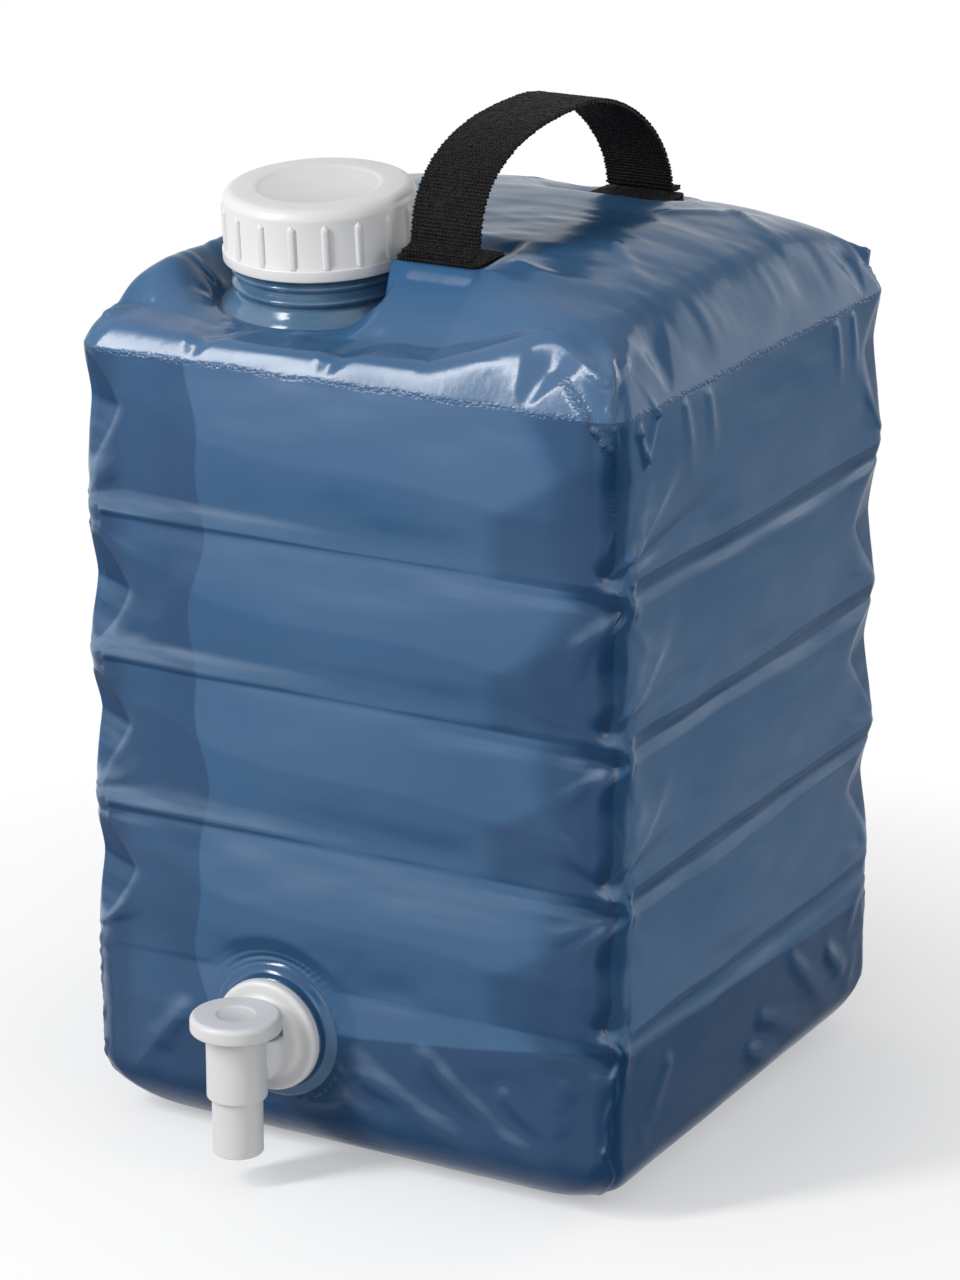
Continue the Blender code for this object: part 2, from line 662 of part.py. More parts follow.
def make_strap(finish):
    """The webbing handle: a foot on each patch and an arch between them."""
    front = [(FRONT_BEND_Y - STRAP_FOOT, None), (FRONT_BEND_Y - STRAP_FOOT / 2, None)]
    front.append((FRONT_BEND_Y - STRAP_BEND, None))
    rear = [(REAR_BEND_Y + STRAP_BEND, None), (REAR_BEND_Y + STRAP_FOOT / 2, None)]
    rear.append((REAR_BEND_Y + STRAP_FOOT, None))
    line = front + arch_points() + rear

    def point_at(column, row):
        x = HANDLE_X + STRAP_WIDTH * (column / WEBBING_COLUMNS - 0.5)
        y, z = line[row]
        if z is None:
            z = dome_height(x, y) + 2 * WELD_GAP + PATCH_THICKNESS + STRAP_THICKNESS
        return Vector((x, y, z))

    grid_shell("handle_strap", WEBBING_COLUMNS, len(line) - 1, point_at, STRAP_THICKNESS, finish)


def make_patch(name, centre_y, finish):
    """A webbing patch on the top panel under one foot of the strap."""

    def point_at(column, row):
        x = HANDLE_X + PATCH_WIDTH * (column / WEBBING_COLUMNS - 0.5)
        y = centre_y + PATCH_LENGTH * (row / PATCH_ROWS - 0.5)
        return Vector((x, y, dome_height(x, y) + WELD_GAP + PATCH_THICKNESS))

    grid_shell(name, WEBBING_COLUMNS, PATCH_ROWS, point_at, PATCH_THICKNESS, finish)


def make_boss(finish):
    """The ring welded to the front wall, stepped in rings, with a hub through the film."""
    profile = [(SHANK_HOLE_RADIUS, BOSS_FRONT)]
    radius = BOSS_RADIUS - BOSS_STEPS * (BOSS_SLOPE + BOSS_TREAD)
    height = BOSS_FRONT
    for _ in range(BOSS_STEPS):
        profile.append((radius, height))
        radius += BOSS_SLOPE
        height -= BOSS_THICKNESS / (BOSS_STEPS + 1)
        profile.append((radius, height))
        radius += BOSS_TREAD
    profile += [
        (BOSS_RADIUS, height),
        (BOSS_RADIUS, GAP),
        (HUB_RADIUS, GAP),
        (HUB_RADIUS, HUB_FOOT),
        (SHANK_HOLE_RADIUS, HUB_FOOT),
    ]
    turned("tap_boss", profile, finish, TAP_PLACE)


def make_ring(name, inner, outer, bottom, top, finish, place):
    """A plain flat ring."""
    profile = [(inner, top), (outer, top), (outer, bottom), (inner, bottom)]
    turned(name, profile, finish, place, SMALL_STEPS)


def make_tap_fixings(rubber, white):
    """The washers under the flange and inside the bag, and the locknut."""
    low = BOSS_FRONT + GAP
    make_ring(
        "tap_outer_washer", SHANK_HOLE_RADIUS, WASHER_RADIUS, low, low + WASHER_THICKNESS, rubber, TAP_PLACE
    )
    low = HUB_FOOT - GAP - WASHER_THICKNESS
    make_ring(
        "tap_inner_washer", SHANK_HOLE_RADIUS, WASHER_RADIUS, low, low + WASHER_THICKNESS, rubber, TAP_PLACE
    )
    top = low - GAP
    mesh = cylinder_mesh("tap_locknut", NUT_RADIUS, top - NUT_THICKNESS, top, NUT_SIDES)
    nut = add_object("tap_locknut", mesh, white, TAP_PLACE, smooth=False)
    bore = cylinder_mesh("nut_bore", SHANK_RADIUS + GAP, top - NUT_THICKNESS - OVERCUT, top + OVERCUT)
    combine(nut, "nut_bore", bore, TAP_PLACE, "DIFFERENCE")


def make_tap_body(finish):
    """The tap's main moulding: shank, flange, barrel and upright barrel, hollow right through."""
    nose = TAP_REACH - NOSE_SHORT
    profile = [(0.0, nose)]
    for step in range(EDGE_STEPS + 1):
        angle = math.pi / 2 * step / EDGE_STEPS
        radius = NOSE_FLAT_RADIUS + (BARREL_RADIUS - NOSE_FLAT_RADIUS) * math.sin(angle)
        profile.append((radius, nose - NOSE_ROUNDING * (1 - math.cos(angle))))
    profile.append((BARREL_RADIUS, FLANGE_FRONT + BARREL_FILLET))
    profile.append((BARREL_RADIUS + BARREL_FILLET, FLANGE_FRONT))
    edge = FLANGE_EDGE_RADIUS
    profile += arc(FLANGE_RADIUS - edge, FLANGE_FRONT - edge, edge, 90, 0, EDGE_STEPS)
    profile += [
        (FLANGE_RADIUS, FLANGE_BACK),
        (SHANK_RADIUS, FLANGE_BACK),
        (SHANK_RADIUS, -SHANK_LENGTH),
        (0.0, -SHANK_LENGTH),
    ]
    body = turned("tap_body", profile, finish, TAP_PLACE)
    pocket_foot = BUTTON_TOP - BUTTON_DEPTH - BUTTON_TRAVEL - RUNNING
    pocket = cylinder_mesh("button_pocket", BUTTON_RADIUS + RUNNING, pocket_foot, BUTTON_TOP)
    combine(body, "button_pocket", pocket, UPRIGHT_PLACE, "DIFFERENCE")
    upright = cylinder_mesh("upright", UPRIGHT_RADIUS, UPRIGHT_FOOT, UPRIGHT_TOP)
    combine(body, "upright", upright, UPRIGHT_PLACE, "UNION")
    seat_top = SEAT_BOTTOM + SEAT_THICKNESS
    cuts = (
        ("chamber", CHAMBER_RADIUS, seat_top, GUIDE_BOTTOM),
        ("well", CHAMBER_RADIUS, GUIDE_TOP, UPRIGHT_TOP + OVERCUT),
        ("guide_hole", STEM_RADIUS + RUNNING, GUIDE_BOTTOM - OVERCUT, GUIDE_TOP + OVERCUT),
        ("seat_hole", SEAT_RADIUS, SEAT_BOTTOM - OVERCUT, seat_top + OVERCUT),
        ("nozzle_socket", NOZZLE_RADIUS + GAP, UPRIGHT_FOOT - OVERCUT, SEAT_BOTTOM),
    )
    for name, radius, low, high in cuts:
        mesh = cylinder_mesh(name, radius, low, high, SMALL_STEPS)
        combine(body, name, mesh, UPRIGHT_PLACE, "DIFFERENCE")
    bore_end = FLANGE_FRONT - BORE_SHORT
    bore = cylinder_mesh(
        "shank_bore", SHANK_RADIUS - SHANK_WALL, -SHANK_LENGTH - OVERCUT, bore_end, SMALL_STEPS
    )
    combine(body, "shank_bore", bore, TAP_PLACE, "DIFFERENCE")
    passage_end = TAP_REACH - CHAMBER_RADIUS / 2
    passage = cylinder_mesh("passage", PASSAGE_RADIUS, bore_end - OVERCUT, passage_end, SMALL_STEPS)
    place = TAP_PLACE @ Matrix.Translation((0, PASSAGE_Z - TAP_Z, 0))
    combine(body, "passage", passage, place, "DIFFERENCE")


def make_nozzle(finish):
    """The tube that is pressed into the foot of the upright barrel."""
    top = SEAT_BOTTOM - GAP
    profile = [
        (NOZZLE_BORE_RADIUS, top),
        (NOZZLE_RADIUS, top),
        (NOZZLE_RADIUS, NOZZLE_FOOT + NOZZLE_CHAMFER),
        (NOZZLE_RADIUS - NOZZLE_CHAMFER, NOZZLE_FOOT),
        (NOZZLE_BORE_RADIUS, NOZZLE_FOOT),
    ]
    turned("tap_nozzle", profile, finish, UPRIGHT_PLACE)


def make_valve(white, rubber):
    """The stem, the valve seal on its foot, and the seal ring round it over the guide."""
    hole = STEM_RADIUS + GAP
    valve_top = SEAT_BOTTOM - GAP
    valve_foot = valve_top - VALVE_THICKNESS
    make_ring("valve_seal", hole, VALVE_RADIUS, valve_foot, valve_top, rubber, UPRIGHT_PLACE)
    shoulder = valve_foot - GAP
    profile = [
        (0.0, BUTTON_CEILING - GAP),
        (STEM_RADIUS, BUTTON_CEILING - GAP),
        (STEM_RADIUS, shoulder),
        (STEM_FOOT_RADIUS, shoulder),
        (STEM_FOOT_RADIUS, shoulder - STEM_FOOT_THICKNESS),
        (0.0, shoulder - STEM_FOOT_THICKNESS),
    ]
    turned("tap_stem", profile, white, UPRIGHT_PLACE, SMALL_STEPS)
    low = GUIDE_TOP + GAP
    make_ring("stem_seal_ring", hole, hole + RING_WIDTH, low, low + RING_THICKNESS, rubber, UPRIGHT_PLACE)


def make_spring(finish):
    """The button's spring: one unbroken wire between the guide and the button's plate."""
    low = GUIDE_TOP + GAP + SPRING_WIRE / 2
    high = BUTTON_CEILING - GAP - SPRING_WIRE / 2
    count = round(SPRING_TURNS * SPRING_STEPS)
    curve = bpy.data.curves.new("button_spring", "CURVE")
    curve.dimensions = "3D"
    curve.bevel_depth = SPRING_WIRE / 2
    curve.bevel_resolution = 2
    curve.use_fill_caps = True
    spline = curve.splines.new("POLY")
    spline.points.add(count)
    for number, point in enumerate(spline.points):
        angle = 2 * math.pi * number / SPRING_STEPS
        height = low + (high - low) * number / count
        point.co = (SPRING_RADIUS * math.cos(angle), SPRING_RADIUS * math.sin(angle), height, 1.0)
    curve.materials.append(finish)
    obj = bpy.data.objects.new("button_spring", curve)
    parts.objects.link(obj)
    obj.matrix_world = UPRIGHT_PLACE


def make_button(finish):
    """The push button: a mushroom disc, hollow below so that it passes over the upright barrel."""
    rim = BUTTON_TOP - BUTTON_DEPTH
    hollow = UPRIGHT_RADIUS + RUNNING + GAP
    recess_foot = BUTTON_TOP - BUTTON_RECESS_DEPTH
    profile = [
        (0.0, recess_foot),
        (BUTTON_RECESS_RADIUS - BUTTON_RECESS_DEPTH, recess_foot),
        (BUTTON_RECESS_RADIUS, BUTTON_TOP),
    ]
    edge = BUTTON_EDGE_RADIUS
    profile += arc(BUTTON_RADIUS - edge, BUTTON_TOP - edge, edge, 90, 0, EDGE_STEPS)
    profile += [
        (BUTTON_RADIUS, rim + BUTTON_CHAMFER),
        (BUTTON_RADIUS - BUTTON_CHAMFER, rim),
        (hollow, rim),
        (hollow, BUTTON_CEILING),
        (0.0, BUTTON_CEILING),
    ]
    turned("tap_button", profile, finish, UPRIGHT_PLACE)


clear_scene()
parts = collection("folding_water_container")
cutters = collection("cutters")

film_blue = material("film_blue", (0.10, 0.20, 0.34), 0.25, alpha=0.85)
spout_blue = material("spout_blue", (0.12, 0.24, 0.38), 0.2, alpha=0.85)
cap_white = material("cap_white", (0.83, 0.83, 0.83), 0.4)
tap_white = material("tap_white", (0.80, 0.80, 0.79), 0.4)
webbing_black = material("webbing_black", (0.012, 0.012, 0.013), 0.8)
seal_rubber = material("seal_rubber", (0.5, 0.5, 0.5), 0.7)
spring_steel = material("spring_steel", (0.6, 0.6, 0.6), 0.3, metallic=1.0)

make_bottom(film_blue)
make_walls(film_blue)
make_top_panel(film_blue)
make_neck(spout_blue)
make_cap(cap_white)
make_cap_seal(seal_rubber)
make_strap(webbing_black)
make_patch("handle_patch_front", FRONT_BEND_Y - PATCH_OVERHANG + PATCH_LENGTH / 2, webbing_black)
make_patch("handle_patch_rear", REAR_BEND_Y + PATCH_OVERHANG - PATCH_LENGTH / 2, webbing_black)
make_boss(spout_blue)
make_tap_fixings(seal_rubber, tap_white)
make_tap_body(tap_white)
make_nozzle(tap_white)
make_valve(tap_white, seal_rubber)
make_spring(spring_steel)
make_button(tap_white)
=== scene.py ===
import math

import bmesh
import bpy
import numpy as np
from mathutils import Matrix, Vector


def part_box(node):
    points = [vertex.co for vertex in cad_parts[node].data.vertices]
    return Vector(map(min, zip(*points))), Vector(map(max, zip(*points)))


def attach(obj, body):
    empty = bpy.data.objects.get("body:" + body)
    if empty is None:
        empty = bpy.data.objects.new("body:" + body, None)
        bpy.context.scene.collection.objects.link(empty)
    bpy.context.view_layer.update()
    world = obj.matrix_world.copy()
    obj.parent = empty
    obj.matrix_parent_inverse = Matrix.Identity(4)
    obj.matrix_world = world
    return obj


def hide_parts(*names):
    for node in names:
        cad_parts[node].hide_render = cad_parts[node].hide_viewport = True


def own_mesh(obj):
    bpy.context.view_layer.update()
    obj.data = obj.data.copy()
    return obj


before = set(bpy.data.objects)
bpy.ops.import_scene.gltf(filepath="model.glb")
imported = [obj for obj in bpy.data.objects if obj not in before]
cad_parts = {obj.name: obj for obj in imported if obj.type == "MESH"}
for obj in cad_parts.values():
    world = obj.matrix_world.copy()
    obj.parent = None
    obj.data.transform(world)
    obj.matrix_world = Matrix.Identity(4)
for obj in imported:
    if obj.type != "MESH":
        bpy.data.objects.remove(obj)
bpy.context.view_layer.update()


def low(node):
    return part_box(node)[0]


def high(node):
    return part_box(node)[1]


def middle(node):
    return (low(node) + high(node)) / 2


def line_between(below, above):
    return (high(below).z + low(above).z) / 2


# Places read from the frame, in metres
HALF = high("top_panel").x
TIERS = ["foot", "tier_2", "tier_3", "tier_4", "tier_5"]
TIER_BODIES = ["base", "base", "tier_3", "tier_4", "tier_5"]
FOLDS = [line_between(f"wall_front_{a}", f"wall_front_{b}") for a, b in zip(TIERS, TIERS[1:])]
SEAM_Z = line_between("wall_front_tier_5", "top_panel")
RIDGES = [0.0670, 0.1195, 0.1735, 0.2265]  # where the full bag's creases stand out, near the fold lines
TAP_X = middle("tap_boss").x
TAP_Z = middle("tap_boss").z
UPRIGHT_Y = middle("tap_button").y
HANDLE_X = middle("handle_strap").x

# The bag's outline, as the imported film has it
CORNER_RADIUS = 0.009
FOOT_RADIUS = 0.025
FOOT_CORNER_RADIUS = 0.032
SHOULDER_RADIUS = 0.020
DOME_RISE = 0.017
DOME_FULLNESS = 3.2
DIP_ROUNDING = 0.006
DIP_SLOPE_FRONT = 0.15
DIP_SLOPE_LEFT = 1.0
DIP_SLOPE_RIGHT = 2.0
DIP_SLOPE_REAR = 1.4
FILM = 0.0006
TUCK = 0.0003  # how far each strip's lowest row is drawn in under the strip below
TAP_HOLE = 0.0215
SHOULDER_LEAN = math.radians(24)
SHOULDER_END = math.radians(84)
FRONT_PAD_Z = 0.3182
REAR_PAD_Z = 0.3120
# The film slopes down in front of the handle: distance before the front patch, and height
APRON = ((0.0, 0.010, 0.022, 0.050), (0.3180, 0.3078, 0.2968, 0.2920))

# The neck and its cap, along the neck's own axis
NECK_LEAN = math.radians(5.0)
SEAL_MIDDLE = 0.03765
NECK_AXIS = Vector((0, -math.sin(NECK_LEAN), math.cos(NECK_LEAN)))
NECK_FOOT = middle("cap_seal") - NECK_AXIS * SEAL_MIDDLE
NECK_PLACE = Matrix.Translation(NECK_FOOT) @ Matrix.Rotation(NECK_LEAN, 4, "X")
NECK_SEAT_RADIUS = 0.0358
TAP_PLACE = Matrix.Translation((TAP_X, -HALF, TAP_Z)) @ Matrix.Rotation(math.pi / 2, 4, "X")
UPRIGHT_PLACE = Matrix.Translation((TAP_X, UPRIGHT_Y, 0))

# How finely the film is divided
SIDE_COLUMNS = 124
CORNER_COLUMNS = 16
FOOT_ROWS = 15
FOOT_EDGE_ROWS = 23
ROW_HEIGHT = 0.00115
SHOULDER_ROWS = 28
TOP_ROWS = 50

SEED = 11
CORNERS = [(-1, -1), (-1, 1), (1, -1), (1, 1)]
FRONT_EDGE = -HALF + 0.012
NEAR_CORNER = (HALF, -HALF)

# A crease's profile: height from the ridge line, and how far the film stands out
CREASE = ((-0.0135, -0.0078, -0.0032, 0.0030, 0.0085, 0.0220), (0, 0.0003, -0.0008, 0.0009, 0.0004, 0))
SOFT_CREASE = ((-0.0100, -0.0010, 0.0014, 0.0090, 0.0200), (0, 0.0001, 0.0015, 0.0002, 0))
# How firm the front's creases are from left to right, and how much light the film above them catches
CREASE_STRENGTH = ((-1, -0.85, -0.35, 0.1, 0.6, 0.9, 1), (0.5, 0.65, 0.42, 0.16, 0.20, 0.55, 0.5))
CREASE_LIGHT = ((-1, -0.8, -0.3, 0.2, 0.6, 0.9), (0.5, 1.0, 0.75, 0.35, 0.12, 0))
# How far each corner is flattened between two creases, along x and along y
CORNER_LEGS = {(1, -1): (0.0058, 0.0062), (-1, -1): (0.0180, 0.0088),
               (1, 1): (0.0052, 0.0240), (-1, 1): (0.0110, 0.0100)}
# Valleys above the top seam: place along the wall, lean, spread and depth
FRONT_DENTS = ((-0.0586, 0.30, 0.55, 0.26), (-0.006, 0.35, 0.60, 0.26), (0.069, 0.45, 0.60, 0.26))
RIGHT_DENTS = ((-0.068, 0.10, 0.50, 0.24), (0.084, -0.20, 0.50, 0.24))
# Folds that cross the top, from x and y to x and y
TOP_CREASES = ((0.052, -0.010, 0.088, -0.052), (0.060, 0.062, 0.098, 0.040), (0.020, -0.078, 0.062, -0.086),
               (-0.020, 0.086, -0.090, 0.060), (-0.070, 0.040, -0.094, 0.080), (0.048, 0.030, 0.080, 0.084),
               (0.036, -0.052, 0.070, -0.064))
# Slanting folds low on each wall: place along the wall and height, to place and height
FOOT_FOLDS = ((0.002, 0.040, 0.060, 0.014), (0.028, 0.055, 0.078, 0.012), (-0.062, 0.052, -0.092, 0.016),
              (0.060, 0.046, 0.094, 0.016), (-0.004, 0.030, 0.030, 0.010))
# The water's level as it shows along the front, from left to right
WATER_LEVEL = ((-0.105, -0.090, -0.070, -0.040, 0.000, 0.050, 0.105),
               (0.012, 0.018, 0.043, 0.050, 0.051, 0.057, 0.066))


def smoothstep(value):
    value = np.clip(value, 0.0, 1.0)
    return value * value * (3 - 2 * value)


def bell(gap, width):
    """1 in the middle, fading smoothly to 0."""
    return np.exp(-((gap / width) ** 2))


def graded(start, stop, count, ease=0.6):
    """Places from start to stop, closer together at both ends."""
    t = np.linspace(0, 1, count + 1)
    return start + (stop - start) * (t - ease * np.sin(2 * np.pi * t) / (2 * np.pi))


def draws(number):
    return np.random.default_rng(SEED + number)


def noise(points, size, number):
    """Smooth noise from -1 to 1 with features of the given size."""
    table = draws(number).uniform(-1, 1, (32, 32, 32))
    place = points / np.asarray(size) + 100
    cell = np.floor(place).astype(int)
    share = smoothstep(place - cell)
    total = np.zeros(points.shape[:-1])
    for corner in np.ndindex(2, 2, 2):
        weight = 1.0
        for axis in range(3):
            weight = weight * (share[..., axis] if corner[axis] else 1 - share[..., axis])
        at = (cell + corner) % 32
        total += weight * table[at[..., 0], at[..., 1], at[..., 2]]
    return total


# The film's plain surface, before it is creased

def dome_height(x, y):
    across = 1 - np.abs(x / HALF) ** DOME_FULLNESS
    along = 1 - np.abs(y / HALF) ** DOME_FULLNESS
    return SEAM_Z + SHOULDER_RADIUS + DOME_RISE * across * along


def smooth_min(first, second, width):
    mix = np.maximum(width - np.abs(first - second), 0) / width
    return np.minimum(first, second) - mix * mix * width / 4


def dip_height(x, y):
    """Height of the dip round the neck."""
    seat = NECK_FOOT.z + (y - NECK_FOOT.y) * math.tan(NECK_LEAN)
    distance = np.hypot(x - NECK_FOOT.x, y - NECK_FOOT.y)
    beyond = np.maximum(distance - NECK_SEAT_RADIUS, 0)
    to_right = (x - NECK_FOOT.x) / np.maximum(distance, 0.001)
    to_rear = (y - NECK_FOOT.y) / np.maximum(distance, 0.001)
    side = np.where(to_right > 0, DIP_SLOPE_RIGHT, DIP_SLOPE_LEFT)
    side = side * smoothstep((to_rear + 0.9) / 0.5)
    slope = DIP_SLOPE_FRONT + side * to_right**2 + DIP_SLOPE_REAR * np.maximum(to_rear, 0) ** 2
    return seat + slope * beyond


def patch_share(x, y, node, side_fade, front_fade, rear_fade):
    """1 over a handle patch, fading to 0 round it."""
    lo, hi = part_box(node)
    aside = np.maximum(np.maximum(lo.x - x, x - hi.x), 0) / side_fade
    before = np.maximum(lo.y - y, 0) / front_fade
    behind = np.maximum(y - hi.y, 0) / rear_fade
    return 1 - smoothstep(np.sqrt(aside**2 + before**2 + behind**2))


def top_height(x, y, dome):
    """The dome, sloping down in front of the handle, flat under its rear patch, dipped round the neck."""
    before = low("handle_patch_front").y - y
    apron = np.interp(before, *APRON) + 0.30 * np.maximum(x - high("handle_patch_front").x, 0)
    height = np.where(before > 0, smooth_min(dome, apron, 0.006), dome)
    height = smooth_min(height, dip_height(x, y), DIP_ROUNDING)
    height += (FRONT_PAD_Z - height) * patch_share(x, y, "handle_patch_front", 0.0024, 0.005, 0.012)
    return height + (REAR_PAD_Z - height) * patch_share(x, y, "handle_patch_rear", 0.020, 0.026, 0.010)


def film_columns():
    """For each column: its wall's outward and lengthwise directions, its share along it, its corner turn."""
    share = np.linspace(-1, 1, SIDE_COLUMNS, endpoint=False)
    share = share + 0.35 * np.sin(np.pi * share) / np.pi
    turn = np.linspace(0, np.pi / 2, CORNER_COLUMNS, endpoint=False)
    out, along, shares, turns = [], [], [], []
    for number in range(4):
        angle = -math.pi / 2 + number * math.pi / 2
        normal = (math.cos(angle), math.sin(angle))
        forward = (-math.sin(angle), math.cos(angle))
        count = SIDE_COLUMNS + CORNER_COLUMNS
        out += [normal] * count
        along += [forward] * count
        shares += [*share, *np.ones(CORNER_COLUMNS)]
        turns += [*np.zeros(SIDE_COLUMNS), *turn]
    return np.array(out), np.array(along), np.array(shares), np.array(turns)


OUT, ALONG, SHARE, TURN = film_columns()


def outline(inset, radius):
    """The bag's outline drawn in by inset, one row of points in plan."""
    straight = HALF - inset - radius
    outwards = straight + radius * np.cos(TURN)
    sideways = SHARE * straight + radius * np.sin(TURN)
    return OUT * outwards[:, None] + ALONG * sideways[:, None]


def shoulder_part(share):
    """How far in and how far up the shoulder has come: it leaves the seam at a slant and rounds off late."""
    steps = np.linspace(0, 1, 201)
    angle = SHOULDER_LEAN + (SHOULDER_END - SHOULDER_LEAN) * (0.6 * steps + 0.4 * steps**2)
    inwards, upwards = np.cumsum(np.sin(angle)), np.cumsum(np.cos(angle))
    return (np.interp(share, steps, (inwards - inwards[0]) / (inwards[-1] - inwards[0])),
            np.interp(share, steps, (upwards - upwards[0]) / (upwards[-1] - upwards[0])))


def film_rows():
    """The film as one grid from the middle of the foot up to the neck, and the rows where it is parted."""
    rows, parted = [], []

    def add(inset, radius, height):
        rows.append(np.c_[outline(inset, radius), np.full(len(OUT), height)])

    for inset in np.linspace(HALF - 0.001, FOOT_RADIUS, FOOT_ROWS)[:-1]:
        add(inset, FOOT_CORNER_RADIUS * min((HALF - inset) / (HALF - FOOT_RADIUS), 1.0), 0.0)
    for angle in np.linspace(0, np.pi / 2, FOOT_EDGE_ROWS)[:-1]:
        inset = FOOT_RADIUS * (1 - math.sin(angle))
        radius = CORNER_RADIUS + (FOOT_CORNER_RADIUS - CORNER_RADIUS) * inset / FOOT_RADIUS
        add(inset, radius, FOOT_RADIUS * (1 - math.cos(angle)))
    bounds = [FOOT_RADIUS, *FOLDS, SEAM_Z]
    for bottom, top in zip(bounds, bounds[1:]):
        for height in graded(bottom, top, round((top - bottom) / ROW_HEIGHT))[:-1]:
            add(0, CORNER_RADIUS, height)
        parted.append(len(rows))
    for share in graded(0, 1, SHOULDER_ROWS, 0.4):
        inset = SHOULDER_RADIUS * shoulder_part(share)[0]
        flat = outline(inset, CORNER_RADIUS + inset / 2)
        x, y = flat.T
        rise = dome_height(x, y) - SHOULDER_RADIUS * (1 - shoulder_part(share)[1])
        rows.append(np.c_[flat, top_height(x, y, rise)])
    edge = rows[-1][:, :2]
    centre = np.array(NECK_FOOT[:2])
    away = edge - centre
    under_neck = NECK_SEAT_RADIUS - 0.003
    seat = centre + away / np.linalg.norm(away, axis=1)[:, None] * under_neck
    for share in np.linspace(0, 1, TOP_ROWS)[1:]:
        flat = edge + (seat - edge) * share
        x, y = flat.T
        rows.append(np.c_[flat, top_height(x, y, dome_height(x, y))])
    return np.array(rows), parted


def outward_normals(grid):
    up = np.gradient(grid, axis=0)
    wrapped = np.concatenate([grid[:, -1:], grid, grid[:, :1]], axis=1)
    sideways = (wrapped[:, 2:] - wrapped[:, :-2]) / 2
    normal = np.cross(sideways, up)
    return normal / np.maximum(np.linalg.norm(normal, axis=2), 1e-12)[..., None]


def each_tier(z, bounds):
    """For each tier between two bounds: the share of the way up it, and which points are in it."""
    for bottom, top in zip(bounds, bounds[1:]):
        yield np.clip((z - bottom) / (top - bottom), 0, 1), (z >= bottom) & (z < top)


# Creases, folds and welds: most of these give how far the film moves outwards at each point

def along_line(points, start, end):
    """Distance from a line, and the share of the way along it."""
    start, end = np.array(start), np.array(end)
    way = end - start
    share = np.clip(((points - start) @ way) / (way @ way), 0, 1)
    gap = np.linalg.norm(points - start - share[..., None] * way, axis=-1)
    return gap, share


def fold(points, start, end, height, narrow, wide):
    """A rounded ridge that starts as a point, widens and dies away."""
    gap, share = along_line(points, start, end)
    fade = smoothstep(share / 0.12) * (1 - smoothstep((share - 0.35) / 0.65))
    return height * fade * bell(gap, narrow + (wide - narrow) * share)


def bent_fold(points, places, height, width):
    """A ridge of even height along several places."""
    nearest = np.full(points.shape[:-1], 1.0)
    for start, end in zip(places, places[1:]):
        nearest = np.minimum(nearest, along_line(points, start, end)[0])
    return height * bell(nearest, width)


def corner_places(height):
    """Where the four corners' film stands at a height."""
    reach = HALF - 0.0026
    return [(sx * reach, sy * reach, height) for sx, sy in CORNERS]


def wall_swell(points, side):
    """Each panel swells a little between two folds."""
    z = points[..., 2]
    share = np.minimum(np.abs(side) / (HALF - CORNER_RADIUS), 1)
    total = np.zeros_like(z)
    swells = ((0.030, RIDGES[0], 0.0008), *((a, b, 0.0020) for a, b in zip(RIDGES, [*RIDGES[1:], SEAM_Z])))
    for bottom, top, swell in swells:
        u = np.clip((z - bottom) / (top - bottom), 0, 1)
        total += swell * np.sin(np.pi * u) * np.cos(share * np.pi / 2) ** 0.7
    return total


def crease_bands(points, side):
    """The film stands out at every crease and goes in sharply below it, softly at the front's left."""
    z = points[..., 2]
    front = points[..., 1] < FRONT_EDGE
    across = np.clip(side / HALF, -1, 1)
    strength = np.where(front, np.interp(across, *CREASE_STRENGTH), 0.95)
    strength = strength * (1 + 0.35 * noise(points, (0.03, 0.03, 0.02), 2))
    reach = 1 + 0.25 * noise(points, (0.045, 0.045, 0.03), 1)
    wander = 0.0010 * noise(points, (0.028, 0.028, 0.05), 4)
    soft = front * (1 - smoothstep((across - 0.20) / 0.45))
    total = np.zeros_like(z)
    for line in RIDGES:
        above = (z - line - wander) / reach
        profile = np.interp(above, *CREASE) * (1 - soft) + np.interp(above, *SOFT_CREASE) * soft
        total += strength * profile * (np.where(front, 0.25, 0.75) if line == RIDGES[0] else 1.0)
    return total


def fan_folds(points):
    """Folds that spread from the pinch at each corner into the panels on both sides."""
    rng = draws(3)
    total = np.zeros(points.shape[:-1])
    for line in RIDGES:
        for x, y, _ in corner_places(line):
            for onto_side, up in ((False, 1), (False, -1), (True, 1), (True, -1)):
                for _ in range(3):
                    angle = math.radians(rng.uniform(12, 66))
                    length = rng.uniform(0.016, 0.042)
                    ahead = math.cos(angle) * length
                    start = (x, y, line + 0.005 * up)
                    end = (x, y - math.copysign(ahead, y)) if onto_side else (x - math.copysign(ahead, x), y)
                    end = (*end, line + math.sin(angle) * length * up)
                    height = rng.uniform(0.0005, 0.0011)
                    total += fold(points, start, end, height, 0.0009, rng.uniform(0.003, 0.006))
    return total


def long_folds(points):
    """The long folds that the near corner sends up into each tier of the right wall."""
    x = HALF
    folds = []
    for line, height in ((RIDGES[3], 0.0019), (RIDGES[2], 0.0016), (RIDGES[1], 0.0014)):
        start = (x, -HALF + 0.003, line + 0.007)
        folds.append((start, (x, -0.062, line + 0.040), height, 0.0014, 0.0052))
        folds.append((start, (x, -0.082, line + 0.034), 0.6 * height, 0.0011, 0.0030))
        folds.append((start, (x, -0.020, line + 0.022), -0.5 * height, 0.0014, 0.0070))
        far = (x, HALF - 0.004, line + 0.006)
        folds.append((far, (x, HALF - 0.030, line + 0.038), 0.6 * height, 0.0012, 0.0050))
    for y in (-0.060, -0.043, 0.058, 0.072):
        folds.append(((x, y, SEAM_Z - 0.001), (x, y + 0.004, SEAM_Z - 0.030), 0.0006, 0.0015, 0.0035))
    return sum(fold(points, *one) for one in folds)


